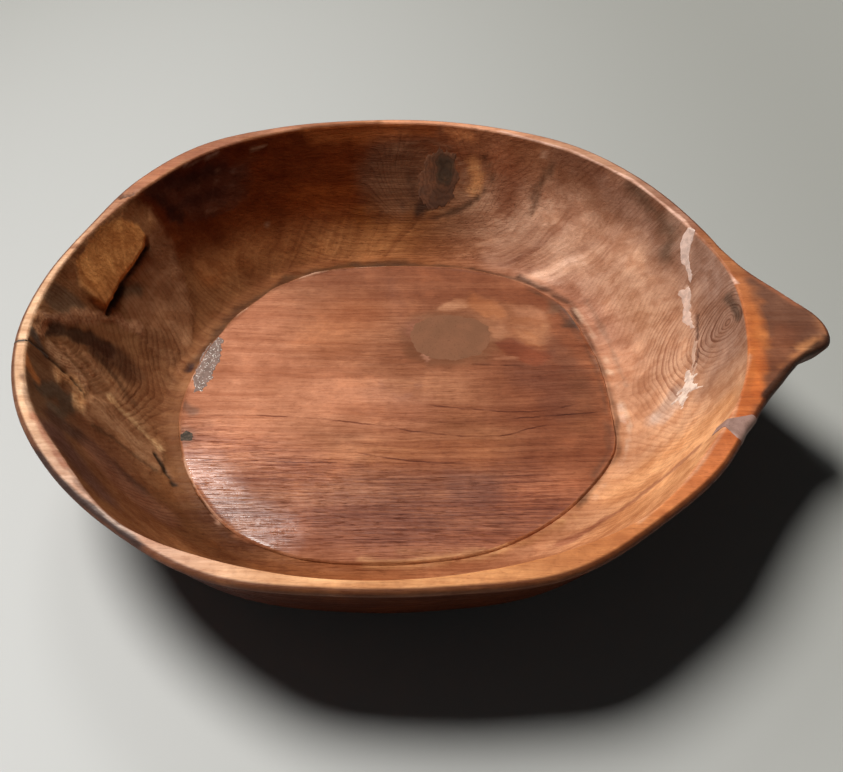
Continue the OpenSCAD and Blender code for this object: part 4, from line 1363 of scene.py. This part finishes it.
@dataclass(frozen=True)
class Fill(ABC):
    """Fill cast into a hollow of the wood, flush with the surface round it.

    Args:
        node: Solid that it stands for.
        slot: Slot of its finish; not used.
        finish: Its finish.
    """

    node: str
    slot: str
    finish: CastFinish | KnotFinish

    @abstractmethod
    def mesh(self, surface: Surface) -> bmesh.types.BMesh:
        """Builds its mesh in metres."""

    def build(self, surface: Surface, low: Vector, high: Vector) -> bpy.types.Object:
        """Builds the piece.

        Args:
            surface: The wood's surface.
            low: Lowest corner that it may reach.
            high: Highest corner.

        Returns:
            The object.
        """
        bm = self.mesh(surface)
        for vert in bm.verts:
            vert.co = [min(max(c, a), b) for c, a, b in zip(vert.co, low, high)]
        piece = write_piece(bm, self.node, self.finish.material())
        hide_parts(self.node)
        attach(piece, "root")
        return piece


@dataclass(frozen=True)
class InlaidFill(Fill):
    """Fill in the inside of the bowl.

    Args:
        outline: Its corners seen from above, in millimetres.
        ragged: How far its border wanders.
        swell: How far its middle stands proud.
        thick: How deep it goes.
        pitch: Distance between its points.
        sink: How far its border sinks into the wood.
    """

    outline: tuple[Place, ...] = ()
    ragged: float = 0.5
    swell: float = 0.12
    thick: float = 2.0
    pitch: float = 0.32
    sink: float = 0.35

    def depth(self, surface: Surface, x: np.ndarray, y: np.ndarray) -> np.ndarray:
        """Distance in from the outline of each place, below zero outside it."""
        points = np.stack([x, y, 0 * x], axis=-1)
        corners = np.pad(np.array(self.outline), ((0, 0), (0, 1)))
        wander = Mottle(31, 2.2).at(points) + 0.6 * Mottle(32, 0.9).at(points)
        return self.ragged * wander - surface.gap(points, corners, True)

    def mesh(self, surface: Surface) -> bmesh.types.BMesh:
        """Builds its mesh in metres."""
        bm = bmesh.new()
        corners = np.array(self.outline)
        low, high = corners.min(axis=0) - 2 * self.pitch, corners.max(axis=0) + 2 * self.pitch
        half, middle = (high - low) / 2, (high + low) / 2
        steps = np.ceil(2 * half / self.pitch).astype(int)
        bmesh.ops.create_grid(bm, x_segments=int(steps[0]), y_segments=int(steps[1]), size=1,
                              matrix=Matrix.Translation((*middle, 0))
                              @ Matrix.Diagonal((*half, 1, 1)))
        x, y = (np.array([vert.co[i] for vert in bm.verts]) for i in range(2))
        depth = self.depth(surface, x, y)
        outer = [face for face in bm.faces if min(depth[vert.index] for vert in face.verts) < 0]
        points, zones, share, stretch = surface.carving.above(x, y)
        lift = surface.finish(points, zones, share)[2] + self.swell * smooth(0, 1.2, depth)
        lift -= self.sink * (1 - smooth(0, 2 * self.pitch, depth))
        for vert, z in zip(bm.verts, points[:, 2] + lift * stretch):
            vert.co.z = z
        bmesh.ops.delete(bm, geom=outer, context="FACES")
        body = bmesh.ops.extrude_face_region(bm, geom=bm.faces[:])["geom"]
        moved = [item for item in body if isinstance(item, bmesh.types.BMVert)]
        bmesh.ops.translate(bm, verts=moved, vec=(0, 0, -self.thick))
        bmesh.ops.scale(bm, verts=bm.verts[:], vec=(MM, MM, MM))
        return bm


@dataclass(frozen=True)
class RimFill(Fill):
    """Fill of a gap right through the rim.

    Args:
        inner: Angles of its two sides at the inside of the rim.
        outer: Angles at the outside.
        deep: How far down it goes, in millimetres.
        columns: Steps from side to side.
        swell: How far it stands proud.
    """

    inner: Place = (0, 0)
    outer: Place = (0, 0)
    deep: float = 14
    columns: int = 16
    swell: float = 0.25

    def mesh(self, surface: Surface) -> bmesh.types.BMesh:
        """Builds its mesh in metres."""
        carving = surface.carving
        bottom = 1 - self.deep / carving.bowl_h
        foot = bottom ** (1 / OUTSIDE_BEND)
        rows = [(Zone.OUTSIDE, part, 1.0) for part in np.linspace(foot, 1, 12)[:-1]]
        rows += [(Zone.OUTER_EDGE, part, 1.0) for part in np.linspace(0, 1, 5)[:-1]]
        rows += [(Zone.RIM_TOP, part, 1 - part) for part in np.linspace(0, 1, 12)[:-1]]
        rows += [(Zone.INNER_EDGE, part, 0.0) for part in np.linspace(0, 1, 4)[:-1]]
        rows += [(Zone.INSIDE, part, 0.0) for part in np.linspace(0, 1 - bottom ** INSIDE_BEND, 12)]
        bm = bmesh.new()
        layer = bm.verts.layers.int.new("row")
        ring = []
        for i, (zone, part, _) in enumerate(rows):
            r, z = carving.cut(zone, np.array(part), np.array(self.inner[0]))
            ring.append(bm.verts.new((float(r), 0, float(z))))
            ring[-1][layer] = i
        edges = [bm.edges.new(pair) for pair in zip(ring, ring[1:] + ring[:1])]
        bmesh.ops.spin(bm, geom=ring + edges, axis=(0, 0, 1), cent=(0, 0, 0), angle=math.pi / 2,
                       steps=self.columns)
        bmesh.ops.holes_fill(bm, edges=bm.edges[:], sides=len(ring))
        for vert in bm.verts:
            across = math.atan2(vert.co.y, vert.co.x) / (math.pi / 2)
            zone, part, out = rows[vert[layer]]
            side = [a + (b - a) * out for a, b in zip(self.inner, self.outer)]
            angle = np.array(side[0] + (side[1] - side[0]) * across)
            edge = 1 - min(across, 1 - across) * self.columns
            middle = carving.points(Zone.RIM_TOP, np.array(0.5), angle) - (0, 0, 6)
            point = carving.points(zone, np.array(part), angle)
            outward = (point - middle) / np.linalg.norm(point - middle)
            vert.co = Vector(point + outward * (self.swell if edge < 0.5 else -0.5)) * MM
        return bm


FILLS: tuple[Fill, ...] = (
    InlaidFill("vein_fill_top", "vein_resin", CastFinish("milky_resin_top", (0.82, 0.6, 0.5),
               (0.56, 0.4, 0.33), 0.3, shine=0.3),
               ((146.5, 77.5), (149.6, 73), (149.2, 69.7), (148.2, 68), (147.9, 65.5), (148.6, 61),
                (149.6, 55.7), (149.6, 51.5), (148, 51.5), (147, 56.7), (145.6, 61.5),
                (143.6, 65.5), (142.8, 73.7), (143.8, 76.5)), 0.35),
    InlaidFill("vein_fill_blob", "vein_resin", CastFinish("milky_resin_blob", (0.78, 0.54, 0.43),
               (0.56, 0.38, 0.3), 0.3, shine=0.3),
               ((143.1, 54.4), (144.8, 54.2), (146.5, 51.5), (147.4, 52), (148.6, 53),
                (149.6, 48.2), (149.4, 44.8), (149.2, 41.3), (149, 38.6), (150, 32.9), (151, 26),
                (148.8, 27.2), (146.1, 33.2), (144.8, 36.4), (145.4, 38.7), (145.2, 44.1),
                (144.6, 48.6), (143, 52.1)), 0.55),
    InlaidFill("vein_fill_thread", "vein_resin", CastFinish("milky_resin_thread",
               (0.61, 0.38, 0.27), (0.42, 0.25, 0.17), 0.3, shine=0.3),
               ((149.9, 22.8), (151.8, 22.2), (151.7, 16.4), (150.8, 11.7), (150.5, 7.1),
                (151, 2.4), (150.3, 0.6), (149.4, -3.6), (147.4, -4.2), (147.8, 2), (148.2, 5.2),
                (148.3, 13), (149.1, 18)), 0.35),
    InlaidFill("vein_fill_coral", "vein_resin", CastFinish("milky_resin_coral",
               (0.9, 0.7, 0.57), (0.55, 0.39, 0.31), 0.3, shine=0.3),
               ((146.4, 6), (148.2, 1), (149.4, -3), (149.8, -7.4), (151, -12), (152.4, -16.7),
                (150.1, -14.6), (148, -13.8), (146.3, -12.3), (145.5, -16), (143.6, -21),
                (142.4, -17.4), (141.4, -13), (140, -11), (141.3, -9.4), (143, -8.6), (142, -5.6),
                (143.8, -5.4), (145.2, -3.4), (145, 1)), 1.3),
    InlaidFill("floor_edge_fill", "glitter_resin", CastFinish("glitter_resin",
               (0.27, 0.175, 0.14), (0.19, 0.125, 0.1), 0.45, 0.075, 320.0, 0.15),
               ((-105, 27), (-101, 33), (-97, 29), (-95, 15), (-95, -1), (-98, -12), (-102.5, -14),
                (-106, -2), (-107, 13)), 1.2),
    InlaidFill("floor_plug", "plug_resin", CastFinish("dark_plug", (0.12, 0.085, 0.06),
               (0.05, 0.04, 0.03), 0.6, 0.0, 600.0, 0.08),
               tuple((4.1 * math.cos(math.tau * i / 20) - 97.4,
                      4.1 * math.sin(math.tau * i / 20) - 44.6) for i in range(20)), 0.9, 0.05),
    InlaidFill("floor_filler", "floor_putty", CastFinish("olive_filler", (0.235, 0.1, 0.052),
               (0.2, 0.088, 0.046), 0.6, 0.0, 60.0, 0.06),
               ((3, 45), (5, 55), (12, 62), (24, 65), (37, 64), (46, 57), (48.5, 46), (44, 33),
                (31, 27), (18, 27), (8, 32)), 0.9, 0.05, sink=0.05),
    InlaidFill("back_wall_knot", "knot_wood", KnotFinish(),
               ((-4, 150), (0, 157), (9, 160), (18, 157), (21, 150), (17, 143), (9, 138.5),
                (0, 140), (-4, 144)), 1.5, 0.12, sink=0.12),
    RimFill("rim_gap_fill", "rim_resin", CastFinish("lavender_resin", (0.36, 0.215, 0.175),
            (0.27, 0.155, 0.12), 0.45, 0.0, 190.0, 0.2), (335, 337.2), (333.7, 339.6), 8),
    RimFill("rim_crack_fill", "crack_resin", CastFinish("dark_crack_resin", (0.09, 0.06, 0.035),
            (0.04, 0.025, 0.015), 0.4), (196.5, 197.1), (196.5, 197.1), 13, 4, 0.1),
)


@dataclass(frozen=True)
class Studio:
    """Pale floor, soft light and the camera, in metres, degrees and watts. The floor's colour fades
    away from the light as a painted falloff of the light.

    Args:
        near_tone: Colour of the floor towards the light, painted brighter as the light's falloff.
        far_tone: Its colour away from the light, painted darker as the light's falloff.
        near_place: Where the painted light on the floor is brightest.
        fade: Distances from there between which the floor's colour changes.
        window_power: Strength of the key light.
        window_from: Direction that it comes from.
        window_spread: Angle that it fills, which softens its shadows.
        sheen_power: Strength of the small light behind.
        sheen_at: Its place.
        sheen_size: Its width.
        sky: Strengths of the light of the room from low down and from high up.
        sky_heights: Heights between which it changes, as parts of straight up.
        camera_at: Place of the camera.
        camera_turn: How far it looks up from straight down, and its turn to the left.
        lens: Its focal length in millimetres.
    """

    near_tone: Tone = (0.72, 0.725, 0.715)
    far_tone: Tone = (0.32, 0.32, 0.295)
    near_place: Spot = (-0.249, -0.859, 0.0)
    fade: Place = (0.037, 0.685)
    window_power: float = 3.7
    window_from: Spot = (-0.43, 0.225, 0.874)
    window_spread: float = 24.0
    sheen_power: float = 2.2
    sheen_at: Spot = (-0.412, 0.673, 0.891)
    sheen_size: float = 0.22
    sky: Place = (0.16, 0.016)
    sky_heights: Place = (0.1, 0.45)
    camera_at: Spot = (0.0596, -0.3915, 0.3894)
    camera_turn: Place = (46.7377, 6.5)
    lens: float = 44.84

    def floor(self) -> None:
        """Lays the floor that the bowl stands on, with a painted falloff of the light in its colour.
        """
        bm = bmesh.new()
        bmesh.ops.create_grid(bm, x_segments=2, y_segments=2, size=4)
        n = Nodes("studio_floor")
        away = n.vector("MULTIPLY", n.vector("SUBTRACT", n.coordinates(), self.near_place),
                        (1.0, 0.346, 0.0))
        n.surface(Base_Color=n.mix(n.span(n.length(away), *self.fade), (*self.near_tone, 1.0),
                                   (*self.far_tone, 1.0)),
                  Roughness=0.9, Specular_IOR_Level=0.1)
        floor = write_piece(bm, "studio_floor", n.material)

    @staticmethod
    def hang(light: bpy.types.Light, toward: Spot) -> bpy.types.Object:
        """Adds a light that shines from a direction."""
        lamp = bpy.data.objects.new(light.name, light)
        lamp.rotation_euler = Vector(toward).to_track_quat("Z", "Y").to_euler()
        bpy.context.scene.collection.objects.link(lamp)
        return lamp

    def lights(self) -> None:
        """Hangs the soft key light, a low sheen from behind and the light of the room."""
        window = bpy.data.lights.new("window_light", "SUN")
        window.energy = self.window_power
        window.angle = math.radians(self.window_spread)
        window.color = (1.0, 0.985, 0.96)
        self.hang(window, self.window_from)
        sheen = bpy.data.lights.new("sheen_light", "AREA")
        sheen.energy = self.sheen_power
        sheen.size = self.sheen_size
        self.hang(sheen, self.sheen_at).location = self.sheen_at
        world = bpy.data.worlds.new("room")
        bpy.context.scene.world = world
        world.use_nodes = True
        tree = world.node_tree
        back = tree.nodes["Background"]
        where, height, span = (tree.nodes.new("ShaderNode" + kind)
                               for kind in ("TexCoord", "SeparateXYZ", "MapRange"))
        span.interpolation_type = "SMOOTHSTEP"
        for name, value in zip(("From Min", "From Max", "To Min", "To Max"),
                               self.sky_heights + self.sky):
            span.inputs[name].default_value = value
        tree.links.new(where.outputs["Generated"], height.inputs[0])
        tree.links.new(height.outputs["Z"], span.inputs["Value"])
        tree.links.new(span.outputs["Result"], back.inputs["Strength"])
        back.inputs["Color"].default_value = (0.97, 0.985, 1.0, 1.0)

    def camera(self) -> None:
        """Sets the camera at the height and angle that the bowl is seen from."""
        scene = bpy.context.scene
        data = bpy.data.cameras.new("camera")
        data.lens = self.lens
        data.sensor_width = 36
        camera = bpy.data.objects.new("camera", data)
        camera.location = self.camera_at
        tilt, turn = self.camera_turn
        camera.rotation_euler = (math.radians(tilt), 0, math.radians(turn))
        scene.collection.objects.link(camera)
        scene.camera = camera
        scene.view_settings.view_transform = "Standard"


def main() -> None:
    """Builds the bowl, its fills and the studio, and reports each piece."""
    logging.basicConfig(level=logging.INFO, format="%(name)s: %(message)s")
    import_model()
    surface = Surface()
    wood = BowlWood(surface).build(*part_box("bowl_body"))
    LOG.info("%s has %d points", wood.name, len(wood.data.vertices))
    for fill in FILLS:
        piece = fill.build(surface, *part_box("bowl_body"))
        LOG.info("%s has %d points", piece.name, len(piece.data.vertices))
    studio = Studio()
    studio.floor()
    studio.lights()
    studio.camera()
    LOG.info("the studio is lit")


if __name__ == "__main__":
    main()
